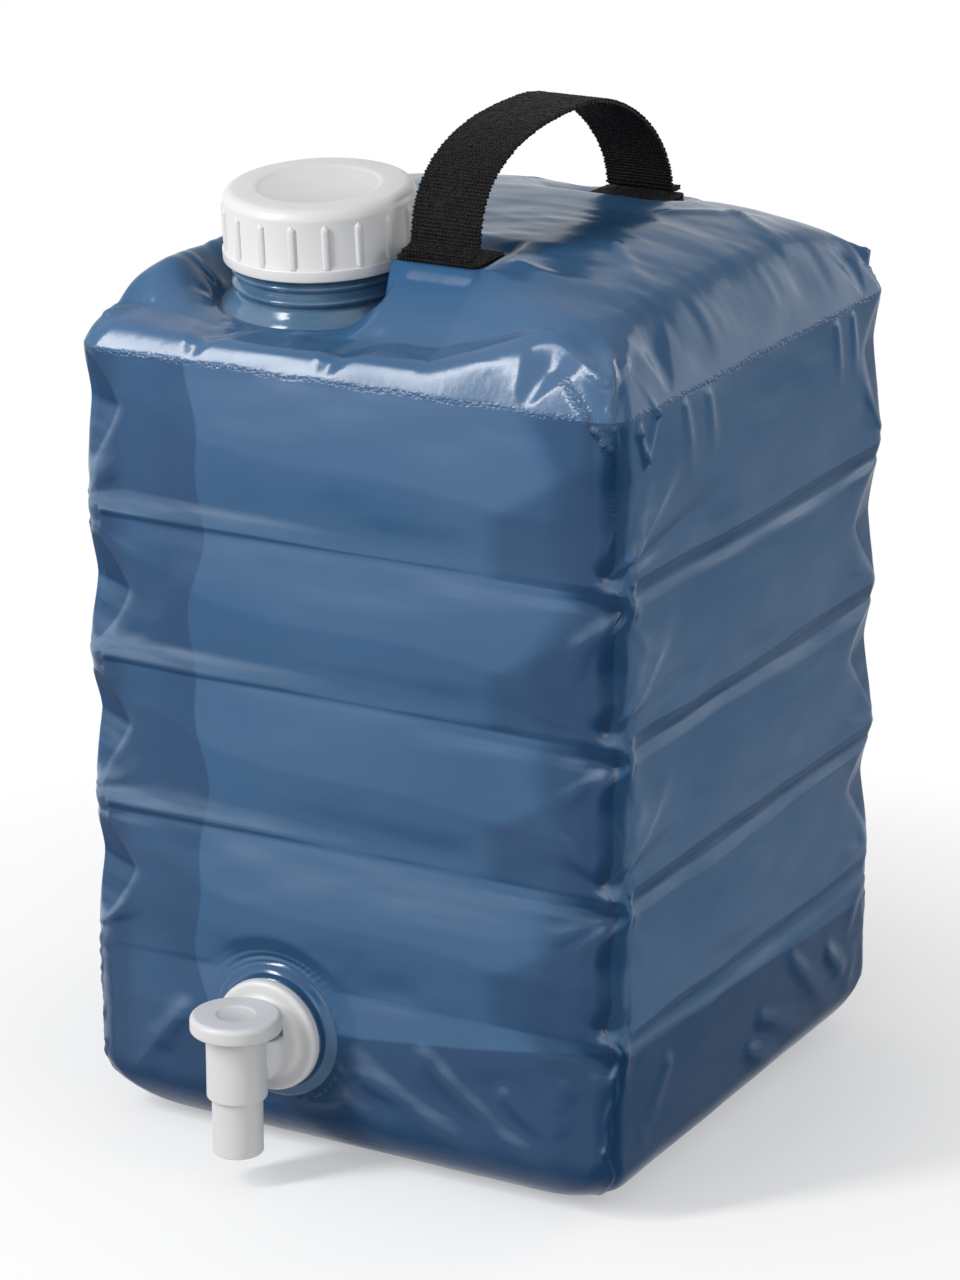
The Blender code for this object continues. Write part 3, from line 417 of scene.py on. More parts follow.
def star_pinches(points):
    """Above and below every crease the corner is drawn in to a small star, most of all the near one."""
    total = np.zeros(points.shape[:-1])
    pinches = ((0.0066, 0.0026, 0.0042), (-0.0066, 0.0017, 0.0032), (0, -0.0012, 0.0042))
    for line in RIDGES:
        for offset, depth, radius in pinches:
            for place in corner_places(line + offset):
                share = 1.0 if place[0] > 0 > place[1] else 0.25
                gap = np.linalg.norm(points - np.array(place), axis=-1)
                total -= share * depth * bell(gap, radius)
    return total


def shoulder_dents(points):
    """Pointed valleys that open upwards from the top seam, each with a fine crease along its middle."""
    x, y, z = np.moveaxis(points, -1, 0)
    total = np.zeros_like(z)
    on_top = z > SEAM_Z - 0.001
    for dents, along, out in ((FRONT_DENTS, x, -y), (RIGHT_DENTS, y, x)):
        facing = smoothstep((out - HALF + 0.040) / 0.012) * on_top
        climb = np.maximum((z - SEAM_Z + HALF - out) / 1.4, 0)
        grow = smoothstep(climb / 0.003) * (1 - smoothstep((climb - 0.014) / 0.016)) * facing
        for place, lean, spread, depth in dents:
            aside = along - place - lean * climb
            width = 0.0012 + spread * climb
            valley = np.maximum(1 - np.abs(aside) / width, 0)
            total -= depth * np.minimum(width, 0.009) * valley * grow
            total += 0.0004 * bell(aside, 0.0014) * grow
    return total


def top_folds(points):
    """Curled and crossed folds near the bag's upper corners and across the top."""
    rng = draws(5)
    z = SEAM_Z + 0.016
    curl = [(0.066, -0.100, SEAM_Z + 0.006), (0.070, -0.093, z), (0.080, -0.086, z + 0.003),
            (0.088, -0.088, z + 0.002), (0.086, -0.097, z - 0.006)]
    tent = [(0.1045, -0.092, SEAM_Z - 0.006), (0.096, -0.086, z - 0.002), (0.1045, -0.080, SEAM_Z - 0.002)]
    tent_foot = (0.1050, -0.088, SEAM_Z - 0.016)
    total = bent_fold(points, curl, 0.0018, 0.0016) + bent_fold(points, tent, 0.0016, 0.0014)
    total += bent_fold(points, [tent_foot, tent[1]], 0.0012, 0.0011)
    total += bent_fold(points, [tent[0], tent_foot, tent[2]], 0.0010, 0.0016)
    for sx, sy in ((1, -1), (1, 1), (-1, 1), (-1, -1)):
        for _ in range(7):
            angle = math.radians(rng.uniform(8, 82))
            length = rng.uniform(0.020, 0.055)
            start = (sx * 0.099, sy * 0.099, SEAM_Z + 0.009)
            to_x, to_y = math.cos(angle) * length, math.sin(angle) * length
            end = (start[0] - sx * to_x, start[1] - sy * to_y, z + 0.010)
            total += fold(points, start, end, rng.uniform(0.0007, 0.0016), 0.0012, rng.uniform(0.003, 0.006))
    for x0, y0, x1, y1 in TOP_CREASES:
        start = (x0, y0, dome_height(x0, y0))
        end = (x1, y1, dome_height(x1, y1))
        total += fold(points, start, end, 0.0011, 0.0018, 0.0060)
    return total


def neck_folds(points):
    """A ring and short rays that hug the neck's foot."""
    x, y = points[..., 0] - NECK_FOOT.x, points[..., 1] - NECK_FOOT.y
    distance = np.hypot(x, y)
    turn = np.arctan2(y, x)
    on_top = points[..., 2] > SEAM_Z + 0.004
    ring = bell(distance - 0.0415 - 0.0010 * np.sin(3 * turn + 1), 0.0016)
    ring = ring * (1 - smoothstep((np.abs(turn + 0.2) - 0.9) / 0.8))
    rays = np.maximum(np.sin(13 * turn + 2 * np.sin(2 * turn)), 0) ** 3
    reach = smoothstep((distance - 0.037) / 0.004) * (1 - smoothstep((distance - 0.044) / 0.012))
    return (0.0009 * ring + 0.0007 * rays * reach) * on_top


def foot_streaks(points):
    """Faint slanting folds where the walls round under, and short ones from each lower corner."""
    rng = draws(7)
    total = np.zeros(points.shape[:-1])
    one_side = SIDE_COLUMNS + CORNER_COLUMNS
    for a0, z0, a1, z1 in FOOT_FOLDS:
        for out, forward in zip(OUT[::one_side], ALONG[::one_side]):
            start = (*(out * HALF + forward * a0), z0)
            end = (*(out * (HALF - 0.006) + forward * a1), z1)
            total += fold(points, start, end, 0.0008 * rng.uniform(0.7, 1.2), 0.0030, 0.0060)
    for sx, sy in CORNERS:
        for _ in range(6):
            start = (sx * 0.098, sy * 0.098, rng.uniform(0.030, 0.060))
            ahead = rng.uniform(0.014, 0.036)
            end = (start[0] - sx * ahead, sy * HALF, start[2] - rng.uniform(0.004, 0.024))
            if rng.uniform() < 0.5:
                end = (sx * HALF, start[1] - sy * ahead, end[2])
            total += fold(points, start, end, rng.uniform(0.0006, 0.0013), 0.0012, 0.0034)
    return total


def welds(points):
    """The four upright corner welds and the top seam: thin lumpy ridges, and a mark where they lie."""
    x, y, z = np.moveaxis(points, -1, 0)
    total = np.zeros_like(z)
    lumps = 0.5 + 0.5 * noise(points, 0.0022, 8)
    wander = 0.0012 * np.sin(z * 150) + 0.0008 * np.sin(z * 410)
    low_part = 1 - smoothstep((z - RIDGES[0] + 0.002) / 0.008)
    high_part = smoothstep((z - SEAM_Z + 0.032) / 0.012)
    strong = np.clip(low_part + high_part, 0, 1)
    for sx, sy in CORNERS:
        across = (sx * x - sy * y) / math.sqrt(2) - wander
        at_corner = smoothstep((sx * x + sy * y - 2 * HALF + 0.045) / 0.010)
        rope = bell(across, 0.0010) - 0.6 * bell(across - 0.0024, 0.0010)
        total += (0.0002 + 0.0010 * strong * lumps) * rope * at_corner * (z < SEAM_Z + 0.016)
    beside = z - SEAM_Z + 0.0003 * np.sin(x * 190) + 0.0003 * np.sin(y * 230)
    total -= 0.00025 * lumps * bell(beside, 0.0008)
    slant = [(0.080, -0.101, SEAM_Z + 0.013), (0.0915, -0.105, SEAM_Z + 0.003),
             (0.1025, -0.1035, SEAM_Z - 0.012), (0.1040, -0.1040, RIDGES[3] + 0.010)]
    total += bent_fold(points, slant, 0.0013, 0.0012) * (0.35 + lumps)
    return total, np.maximum(0.5 * bell(beside, 0.0009), bent_fold(points, slant, 1.0, 0.0018))


def slack(points):
    """The film's slow unevenness, and fine waviness on the top, where it is slack."""
    total = 0.0007 * noise(points, (0.060, 0.060, 0.030), 9)
    total += 0.00022 * noise(points, (0.020, 0.020, 0.009), 10)
    top = smoothstep((points[..., 2] - SEAM_Z) / 0.015)
    total += top * 0.0007 * noise(points, (0.035, 0.014, 0.035), 11)
    total += top * 0.00022 * noise(points, (0.012, 0.005, 0.012), 12)
    return total


def tap_ripples(points):
    """Rings pressed into the film round the tap's boss."""
    distance = np.hypot(points[..., 0] - TAP_X, points[..., 2] - TAP_Z)
    rings = 0.00014 * np.sin(2 * np.pi * (distance - 0.025) / 0.0026)
    return rings * bell(distance - 0.0265, 0.0032) * (points[..., 1] < -HALF + 0.004)


def draw_in_corners(points, z):
    """Between two folds each corner is flattened to a slanting lens, with an edge on either side."""
    rng = draws(13)
    bounds = [FOOT_RADIUS, *RIDGES, SEAM_Z + 0.004]
    sizes = (0.25, 1.0, 1.0, 1.0, 0.9)
    least, soft = 0.0012, 0.0008
    drawn = np.zeros_like(z)
    for sx, sy in CORNERS:
        along_x, along_y = CORNER_LEGS[sx, sy]
        for size, (share, within) in zip(sizes, each_tier(z, bounds)):
            size *= rng.uniform(0.9, 1.1)
            widest = rng.uniform(0.50, 0.66)
            u = share ** (math.log(0.5) / math.log(widest))
            bow = size * (1 - np.abs(2 * u - 1) ** 1.35) * within
            a = least + along_x * bow
            b = least + along_y * bow
            to_x = HALF - sx * points[..., 0]
            to_y = HALF - sy * points[..., 1]
            scale = 1 / np.sqrt(a**-2 + b**-2)
            beyond = (1 - to_x / a - to_y / b) * scale
            shift = 0.5 * (beyond + np.sqrt(beyond**2 + soft**2)) * (bow > 0)
            shift = np.where(beyond > -0.006, shift, 0)
            drawn = np.maximum(drawn, smoothstep(beyond / 0.0010) * (bow > 0))
            points[..., 0] -= sx * shift * scale / a
            points[..., 1] -= sy * shift * scale / b
    return points, drawn


def crease_glow(points):
    """Film that catches the light: above the front's creases, beside the near corner, and low at the foot."""
    x, y, z = np.moveaxis(points, -1, 0)
    streaks = 0.65 + 0.5 * noise(points, (0.060, 0.060, 0.0035), 18)
    total = sum(0.62 * bell(z - line - 0.0058, 0.0050) for line in RIDGES[1:])
    total = total * np.interp(x / HALF, *CREASE_LIGHT) * streaks * (y < FRONT_EDGE)
    for line in RIDGES[1:]:
        start, end = (HALF, -0.099, line + 0.006), (HALF, -0.074, line + 0.046)
        total += fold(points, start, end, 0.34, 0.0025, 0.0085)
    for x0, z0, x1, z1 in ((0.000, 0.050, 0.075, 0.004), (0.034, 0.050, 0.090, 0.010)):
        total += fold(points, (x0, -HALF, z0), (x1, -HALF, z1), 0.26, 0.0025, 0.0060)
    return total


def jog_near_corner(points, z):
    """Under each fold line the near corner's edge stands further round to the right, and slides back."""
    gap = np.hypot(points[..., 0] - NEAR_CORNER[0], points[..., 1] - NEAR_CORNER[1])
    for line in RIDGES:
        below = bell(z - line + 0.0062, 0.0050) * bell(gap, 0.010)
        above = bell(z - line - 0.0066, 0.0045) * bell(gap, 0.009)
        points[..., 0] += 0.0022 * below - 0.0012 * above
        points[..., 1] += 0.0036 * below
    return points


def room_for_fittings(x, y, z):
    """0 where the film has to lie flat: round the tap, on the ground, under the neck and the patches."""
    from_tap = np.hypot(x - TAP_X, z - TAP_Z)
    clear_of_tap = np.where(y < -HALF + 0.02, smoothstep((from_tap - 0.0255) / 0.010), 1)
    from_neck = np.hypot(x - NECK_FOOT.x, y - NECK_FOOT.y)
    clear_of_neck = np.where(z > SEAM_Z, smoothstep((from_neck - 0.0350) / 0.005), 1)
    yield clear_of_tap * clear_of_neck * smoothstep(z / 0.006)
    for node in ("handle_patch_front", "handle_patch_rear"):
        centre = middle(node)
        size = (high(node) - low(node)) / 2
        gap = np.maximum(np.abs(x - centre.x) / size.x, np.abs(y - centre.y) / size.y)
        yield np.where(z > SEAM_Z, smoothstep((gap - 0.95) / 0.45), 1)


def creased_film():
    """The whole film with its folds, and the painted light and shade in its colour at each point."""
    plain, parted = film_rows()
    normal = outward_normals(plain)
    x, y, z = np.moveaxis(plain, -1, 0)
    side = np.einsum("rcd,cd->rc", plain[..., :2], ALONG)
    wall = smoothstep((z - 0.012) / 0.02) * (z <= SEAM_Z + 1e-5)
    moved = wall * (wall_swell(plain, side) + crease_bands(plain, side) + star_pinches(plain))
    moved += wall * (fan_folds(plain) + long_folds(plain))
    moved += shoulder_dents(plain) + (top_folds(plain) + neck_folds(plain)) * (z > SEAM_Z - 0.03)
    welded, weld = welds(plain)
    moved += foot_streaks(plain) * (z < FOLDS[0]) + welded
    moved += slack(plain) * smoothstep(z / 0.01)
    for share in room_for_fittings(x, y, z):
        moved *= share
    moved += tap_ripples(plain)
    grid, drawn = draw_in_corners(plain + normal * moved[..., None], z)
    grid = jog_near_corner(grid, z)
    looks = film_tone(plain, side)
    near = (x > 0) & (y < 0)
    way = outward_normals(grid)
    # Painted shade on each corner's flattened facets, where gloss and the painted sheen are weaker too
    facet = drawn * (0.82 + 0.18 * noise(grid, (0.012, 0.012, 0.018), 17))
    looks["tone"] *= 1 - np.where(near, 0.45, 0.70) * facet
    looks["gloss"] *= 1 - np.where(near, 0.5, 0.95) * drawn
    looks["sheen"] = 0.5 + (film_sheen(way, x, y, z) - 0.5) * (1 - np.where(near, 0.2, 0.6) * facet)
    looks["sheen"] += crease_glow(plain) * (1 - drawn)
    looks["weld"] = weld
    return grid, parted, way, looks


def film_sheen(normal, x, y, z):
    """From 0 to 1: how far the creases turn the film up towards the light; below 0.5 it is turned away."""
    facing_right = (x > np.abs(y))[..., None]
    light = np.where(facing_right, (0, 0.45, 0.90), (-0.30, 0, 0.95))
    on_wall = 1 - smoothstep((z - SEAM_Z + 0.003) / 0.003)
    turned = np.clip(np.einsum("rcd,rcd->rc", normal, light) * 1.9, -0.5, 0.5)
    return 0.5 + turned * on_wall * smoothstep(z / 0.03)


def tone_of_front(tone, x, z):
    """Painted shade on the front: under a slanting edge and beside the near corner in every tier."""
    edge = 0.46 + 0.02 * np.sin(x * 70) + 0.16 * smoothstep((-x - 0.050) / 0.03)
    for u, within in each_tier(z, [0.0, *RIDGES, SEAM_Z]):
        slant = smoothstep((u - edge + 0.10 * x / HALF) / 0.035)
        near_crease = 1 - smoothstep(u / 0.16)
        wedge = smoothstep((x - 0.052 - 0.055 * np.maximum(1.7 * u - 0.6, 0)) / 0.012) * (z >= RIDGES[0])
        darkened = tone * (0.66 + 0.34 * np.maximum(slant, near_crease)) * (1 - 0.65 * wedge)
        tone = np.where(within, darkened, tone)
    stripe = bell(HALF - x - 0.0105, 0.0028)
    return np.where(z > RIDGES[0], tone * (1 - 0.75 * stripe), tone)


def tone_of_right(points):
    """Painted light and shade on the right wall: lighter at the foot of every tier and near the front."""
    y, z = points[..., 1], points[..., 2]
    uneven = 0.3 * noise(points, 0.04, 16)
    away = np.interp(y, [-0.10, -0.03, 0.04, 0.10], [1.15, 1.0, 0.80, 0.55])
    tone = np.zeros_like(z)
    for u, within in each_tier(z, [0.0, *RIDGES, SEAM_Z]):
        slope = smoothstep(1.05 - u * 1.1 + uneven)
        tone = np.where(within, (0.62 + 0.38 * slope) * away, tone)
    return tone


def film_tone(points, side):
    """Painted light and shade in the film's colour, and how glossy it is, at each point of the plain surface.

    band and water are distances in millimetres from the edge of the front's band of painted shade and from
    the water's surface.
    """
    x, y, z = np.moveaxis(points, -1, 0)
    wall = z < SEAM_Z
    facing_front = -y >= np.abs(x)
    front, right = facing_front & wall, (x > np.abs(y)) & wall
    wave = 0.0025 * np.sin(z * 60) + 0.0015 * np.sin(z * 145 + 1)
    # Painted reflection on the front: paler across the middle, with painted shade at the near corner, at the
    # far left and low down
    middle_zone = 1 - smoothstep((x - 0.072 - 2 * wave) / 0.014)
    left_zone = 1 - 0.95 * smoothstep((-x - 0.083) / 0.010) + 0.35 * smoothstep((-x - 0.066) / 0.012)
    inside = (0.20 + 0.64 * middle_zone) * left_zone + 0.12 * noise(points, 0.05, 15)
    inside = inside * np.interp(z, [0.06, 0.12, 0.20, 0.26], [0.84, 0.80, 0.82, 1.05])
    tone = 0.42 + 0.28 * noise(points, (0.05, 0.05, 0.04), 14)
    tone = np.where(front, tone_of_front(inside, x, z), np.where(right, tone_of_right(points), tone))
    # Painted light on the top: paler towards the front and towards the right
    apron = smoothstep((-y - 0.060) / 0.02) * ~wall
    tone = np.clip(tone + 0.35 * apron + 0.30 * smoothstep((x - 0.03) / 0.05) * ~wall, 0, 1)
    on_top = 0.45 - 0.22 * smoothstep((x - 0.065) / 0.025)
    gloss = np.where(front, 1.0, np.where(right, 0.16, np.where(wall, 0.5, on_top)))
    shoulder = (1 - smoothstep((z - SEAM_Z - 0.016) / 0.006)) * ~wall
    gloss = gloss + (1 - gloss) * shoulder * (-y >= np.abs(x) - 0.004)
    gloss = gloss * (1 - 0.85 * patch_share(x, y, "handle_patch_front", 0.004, 0.012, 0.004) * ~wall)
    band = np.where(front, 1000 * (x + 0.057 - wave), 50.0)
    level = np.where(facing_front, np.interp(side, *WATER_LEVEL), 0.058 - 0.006 * y / HALF)
    return {"tone": tone, "gloss": gloss, "band": band, "water": 1000 * (level - z)}


def put_in_scene(name, data):
    obj = bpy.data.objects.new(name, data)
    bpy.context.scene.collection.objects.link(obj)
    return obj


def settled(obj):
    """The mesh that an object's modifiers make; the modifiers are then dropped."""
    mesh = bpy.data.meshes.new_from_object(obj.evaluated_get(bpy.context.evaluated_depsgraph_get()))
    obj.modifiers.clear()
    return mesh


def enter(obj, finish, body, nodes):
    """Give a piece its material, hide the imported parts that it stands for, and attach it to what it moves
    with.
    """
    obj.data.materials.clear()
    obj.data.materials.append(materials[finish])
    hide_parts(*nodes)
    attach(obj, body)
    return obj


def film_piece(name, rows, way, looks, body, nodes):
    """A strip of the film with its thickness; the foot's strip is closed below and has the tap's hole."""
    count, columns = rows.shape[:2]
    place = np.arange(count * columns).reshape(count, columns)
    right = np.roll(place, -1, axis=1)
    faces = np.stack([place[:-1], right[:-1], right[1:], place[1:]], axis=-1).reshape(-1, 4).tolist()
    verts = rows.reshape(-1, 3).tolist()
    way = way.reshape(-1, 3).tolist()
    looks = {label: values.reshape(-1).tolist() for label, values in looks.items()}
    if name == "film_foot":
        faces = [f for f in faces if not all(near_tap(verts[v]) for v in f)]
        verts.append([0.0, 0.0, verts[0][2]])
        way.append([0.0, 0.0, -1.0])
        for values in looks.values():
            values.append(values[0])
        faces += [((n + 1) % columns, n, len(verts) - 1) for n in range(columns)]
    mesh = bpy.data.meshes.new(name)
    mesh.from_pydata(verts, [], faces)
    for label, values in looks.items():
        mesh.attributes.new(label, "FLOAT", "POINT").data.foreach_set("value", values)
    mesh.attributes.new("way", "FLOAT_VECTOR", "POINT").data.foreach_set("vector", np.ravel(way))
    mesh.shade_smooth()
    bm = bmesh.new()
    bm.from_mesh(mesh)
    bmesh.ops.delete(bm, geom=[v for v in bm.verts if not v.link_faces], context="VERTS")
    bm.to_mesh(mesh)
    bm.free()
    obj = put_in_scene(name, mesh)
    wall = obj.modifiers.new("film thickness", "SOLIDIFY")
    wall.thickness = FILM
    wall.offset = -1
    obj.data = settled(obj)
    keep_normals(obj.data)
    return enter(obj, "film", body, nodes)


def keep_normals(mesh):
    """Shade each piece as part of the whole film, so that no line shows where two pieces meet."""
    way = np.empty(3 * len(mesh.vertices))
    mesh.attributes["way"].data.foreach_get("vector", way)
    way = way.reshape(-1, 3)
    facing = np.array([v.normal for v in mesh.vertices])
    way = np.where(np.einsum("vc,vc->v", way, facing)[:, None] < 0, -way, way)
    mesh.attributes.remove(mesh.attributes["way"])
    mesh.normals_split_custom_set_from_vertices([tuple(v) for v in way.tolist()])


def near_tap(vertex):
    return vertex[1] < -HALF + 0.01 and math.hypot(vertex[0] - TAP_X, vertex[2] - TAP_Z) < TAP_HOLE


def packed_film(tier):
    """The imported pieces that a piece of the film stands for."""
    if tier == "top":
        return ["top_panel"]
    walls = [f"wall_{side}_{tier}" for side in ("front", "right", "rear", "left")]
    return walls + ["bottom_panel"] * (tier == "foot")


def make_film():
    """The film in six pieces: the foot, one for each of the four tiers above it, and the top."""
    grid, parted, way, looks = creased_film()
    starts = [0, *(cut - 1 for cut in parted)]
    ends = [*(cut + 1 for cut in parted), None]
    for number, (tier, body) in enumerate(zip([*TIERS, "top"], [*TIER_BODIES, "top"])):
        rows = slice(starts[number], ends[number])
        strip = grid[rows].copy()
        if number:
            strip[0] -= TUCK * way[rows][0]
        seen = {label: values[rows] for label, values in looks.items()}
        piece = film_piece(f"film_{tier}", strip, way[rows], seen, body, packed_film(tier))
        if tier.startswith("tier"):
            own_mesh(piece)


# Materials

materials = {}


def shader(name, colour, roughness, **sockets):
    made = bpy.data.materials.new(name)
    made.use_nodes = True
    node = made.node_tree.nodes["Principled BSDF"]
    node.inputs["Base Color"].default_value = (*colour, 1)
    node.inputs["Roughness"].default_value = roughness
    for socket, value in sockets.items():
        node.inputs[socket.replace("_", " ")].default_value = value
    materials[name] = made
    return made.node_tree, node


def node_of(tree, kind, **values):
    made = tree.nodes.new(kind)
    for key, value in values.items():
        setattr(made, key, value)
    return made


def noise_of(tree, scale, detail=3.0, stretch=(1, 1, 1)):
    """Noise on the piece's own place in the object."""
    where = node_of(tree, "ShaderNodeTexCoord")
    mapping = node_of(tree, "ShaderNodeMapping")
    mapping.inputs["Scale"].default_value = stretch
    tree.links.new(where.outputs["Object"], mapping.inputs["Vector"])
    noise = node_of(tree, "ShaderNodeTexNoise")
    noise.inputs["Scale"].default_value = scale
    noise.inputs["Detail"].default_value = detail
    tree.links.new(mapping.outputs["Vector"], noise.inputs["Vector"])
    return noise.outputs["Fac"]


def ramp_of(tree, value, stops):
    ramp = node_of(tree, "ShaderNodeValToRGB")
    elements = ramp.color_ramp.elements
    while len(elements) < len(stops):
        elements.new(0.5)
    for element, (place, colour) in zip(elements, stops):
        element.position = place
        element.color = (*colour, 1) if len(colour) == 3 else colour
    tree.links.new(value, ramp.inputs["Fac"])
    return ramp.outputs["Color"]


def mix_of(tree, share, first, second):
    mix = node_of(tree, "ShaderNodeMix", data_type="RGBA")
    for socket, value in ((mix.inputs[0], share), (mix.inputs[6], first), (mix.inputs[7], second)):
        if isinstance(value, (int, float)):
            socket.default_value = value
        elif isinstance(value, tuple):
            socket.default_value = (*value, 1)
        else:
            tree.links.new(value, socket)
    return mix.outputs[2]


def range_of(tree, value, low_in, high_in, low_out, high_out):
    mapped = node_of(tree, "ShaderNodeMapRange")
    numbers = (low_in, high_in, low_out, high_out)
    for socket, number in zip(("From Min", "From Max", "To Min", "To Max"), numbers):
        mapped.inputs[socket].default_value = number
    tree.links.new(value, mapped.inputs["Value"])
    return mapped.outputs["Result"]


def bump_of(tree, node, height, strength, distance, onto=None):
    bump = node_of(tree, "ShaderNodeBump")
    if isinstance(strength, float):
        bump.inputs["Strength"].default_value = strength
    else:
        tree.links.new(strength, bump.inputs["Strength"])
    bump.inputs["Distance"].default_value = distance
    tree.links.new(height, bump.inputs["Height"])
    if onto:
        tree.links.new(onto.outputs["Normal"], bump.inputs["Normal"])
    tree.links.new(bump.outputs["Normal"], node.inputs["Normal"])
    return bump


def attribute_of(tree, name):
    return node_of(tree, "ShaderNodeAttribute", attribute_name=name).outputs["Fac"]


def combined(tree, operation, first, second):
    node = node_of(tree, "ShaderNodeMath", operation=operation)
    for socket, value in zip(node.inputs, (first, second)):
        tree.links.new(value, socket)
    return node.outputs[0]


def two_tones(tree, node, noise, bounds, first, second):
    """Colour that drifts from the first tone to the second with the noise."""
    mixed = mix_of(tree, range_of(tree, noise, *bounds, 0, 1), first, second)
    tree.links.new(mixed, node.inputs["Base Color"])


def uneven_gloss(tree, node, noise, smoothest, roughest):
    tree.links.new(range_of(tree, noise, 0.3, 0.7, smoothest, roughest), node.inputs["Roughness"])


def film_material():
    """Semi-clear deep blue film: painted highlight at creases towards the light, painted sheen patches,
    uneven gloss.
    """
    tree, node = shader("film", (0.03, 0.10, 0.22), 0.18, IOR=1.45, Specular_IOR_Level=0.25)
    labels = ("tone", "band", "water", "sheen", "weld", "gloss")
    tone, band, water, sheen, weld, gloss = (attribute_of(tree, label) for label in labels)
    # Painted light and shade: the tone, darkened beyond the edge of the front's band, picks the blue
    banded = combined(tree, "MULTIPLY", tone, range_of(tree, band, -0.5, 0.5, 0.34, 1.0))
    blue = ramp_of(tree, banded, [(0.0, (0.008, 0.040, 0.108)), (0.5, (0.028, 0.094, 0.200)),
                                  (1.0, (0.056, 0.126, 0.242))])
    # Painted sheen: pale mauve-grey patches laid over the blue by noise
    soft_patches = ramp_of(tree, noise_of(tree, 14.0, 4.0, (1, 1, 1.6)), [(0.35, (0, 0, 0)), (0.75, (1, 1, 1))])
    streak = range_of(tree, noise_of(tree, 26.0, 5.0, (1, 1, 7)), 0.30, 0.62, 0.35, 1.0)
    lit = combined(tree, "MULTIPLY", range_of(tree, sheen, 0.58, 0.95, 0.0, 0.90), streak)
    # Each layer of colour lies over those before it: painted sheen patches, under water, painted highlight,
    # painted shade, welded
    layers = ((range_of(tree, soft_patches, 0, 1, 0.0, 0.14), (0.080, 0.125, 0.215)),
              (range_of(tree, water, -0.6, 0.6, 0.0, 0.74), (0.005, 0.036, 0.100)),
              (lit, (0.125, 0.195, 0.300)),
              (range_of(tree, sheen, 0.42, 0.12, 0.0, 0.50), (0.006, 0.034, 0.092)),
              (range_of(tree, weld, 0, 1, 0.0, 0.35), (0.004, 0.030, 0.080)))
    colour = blue
    for share, tint in layers:
        colour = mix_of(tree, share, colour, tint)
    tree.links.new(colour, node.inputs["Base Color"])
    mirror = range_of(tree, gloss, 0.0, 1.0, 0.0, 0.38)
    mirror = combined(tree, "MULTIPLY", mirror, range_of(tree, sheen, 0.15, 0.45, 0.25, 1.0))
    tree.links.new(mirror, node.inputs["Specular IOR Level"])
    uneven_gloss(tree, node, noise_of(tree, 30.0, 5.0, (1, 1, 2)), 0.14, 0.25)
    fine = bump_of(tree, node, noise_of(tree, 260.0, 4.0), 0.10, 0.0006)
    bump_of(tree, node, noise_of(tree, 620.0, 2.0, (1, 1, 1.6)), weld, 0.0016, fine)


def white_plastic(name, colour, roughness, grain):
    """Moulded white plastic with a fine grain, a little uneven in its colour."""
    tree, node = shader(name, colour, roughness, IOR=1.46)
    darker = tuple(0.955 * c for c in colour)
    two_tones(tree, node, noise_of(tree, 42.0), (0.35, 0.65), darker, colour)
    uneven_gloss(tree, node, noise_of(tree, 220.0, 2.0), roughness - 0.04, roughness + 0.05)
    bump_of(tree, node, noise_of(tree, grain), 0.12, 0.0002)


def clear_blue():
    """The neck's semi-clear moulding."""
    tree, node = shader("clear_blue", (0.16, 0.33, 0.52), 0.10, IOR=1.47, Transmission_Weight=0.45)
    soft_patches = noise_of(tree, 55.0, 3.0, (1, 1, 3))
    two_tones(tree, node, soft_patches, (0.3, 0.7), (0.080, 0.200, 0.350), (0.180, 0.310, 0.460))
    uneven_gloss(tree, node, noise_of(tree, 90.0), 0.07, 0.20)
    bump_of(tree, node, noise_of(tree, 120.0, 3.0, (1, 1, 2.5)), 0.25, 0.0005)


def boss_material():
    """The boss shows the film's blue, a shade deeper."""
    tree, node = shader("film_boss", (0.030, 0.095, 0.205), 0.16, IOR=1.5)
    two_tones(tree, node, noise_of(tree, 40.0), (0.3, 0.7), (0.016, 0.066, 0.155), (0.036, 0.108, 0.220))
    bump_of(tree, node, noise_of(tree, 200.0), 0.1, 0.0004)


def webbing_material():
    """Black woven yarn: dull, with a slight sheen and single paler fibres."""
    tree, node = shader("webbing", (0.006, 0.006, 0.007), 0.55, Specular_IOR_Level=0.14)
    fibre = noise_of(tree, 900.0, 3.0, (1, 0.35, 1))
    two_tones(tree, node, fibre, (0.35, 0.75), (0.0018, 0.0018, 0.002), (0.010, 0.010, 0.011))
    uneven_gloss(tree, node, noise_of(tree, 400.0), 0.45, 0.75)
    bump_of(tree, node, fibre, 0.5, 0.0003)


def rubber_material():
    tree, node = shader("rubber", (0.45, 0.45, 0.44), 0.55)
    speck = noise_of(tree, 350.0, 4.0)
    two_tones(tree, node, speck, (0.4, 0.7), (0.36, 0.36, 0.35), (0.48, 0.48, 0.47))
    bump_of(tree, node, speck, 0.2, 0.0002)


def steel_material():
    tree, node = shader("steel", (0.62, 0.62, 0.62), 0.25, Metallic=1.0)
    uneven_gloss(tree, node, noise_of(tree, 600.0, 2.0, (1, 1, 8)), 0.18, 0.38)


def make_materials():
    film_material()
    white_plastic("white_cap", (0.665, 0.662, 0.662), 0.36, 500.0)
    white_plastic("white_tap", (0.640, 0.640, 0.640), 0.42, 420.0)
    clear_blue()
    boss_material()
    webbing_material()
    rubber_material()
    steel_material()


# Turned and moulded pieces

def piece_of(name, mesh, finish, body, nodes, sharp=35):
    """A finished piece, with edges kept sharp above an angle in degrees."""
    mesh.shade_smooth()
    mesh.set_sharp_from_angle(angle=math.radians(sharp))
    return enter(put_in_scene(name, mesh), finish, body, nodes)


def on_turn(radius, angle, z):
    return radius * math.cos(angle), radius * math.sin(angle), z


def finished(bm, name, place=Matrix()):
    """What is drawn in bm as a mesh, facing outwards and moved to its place."""
    bmesh.ops.recalc_face_normals(bm, faces=bm.faces)
    bm.transform(place)
    mesh = bpy.data.meshes.new(name)
    bm.to_mesh(mesh)
    bm.free()
    return mesh


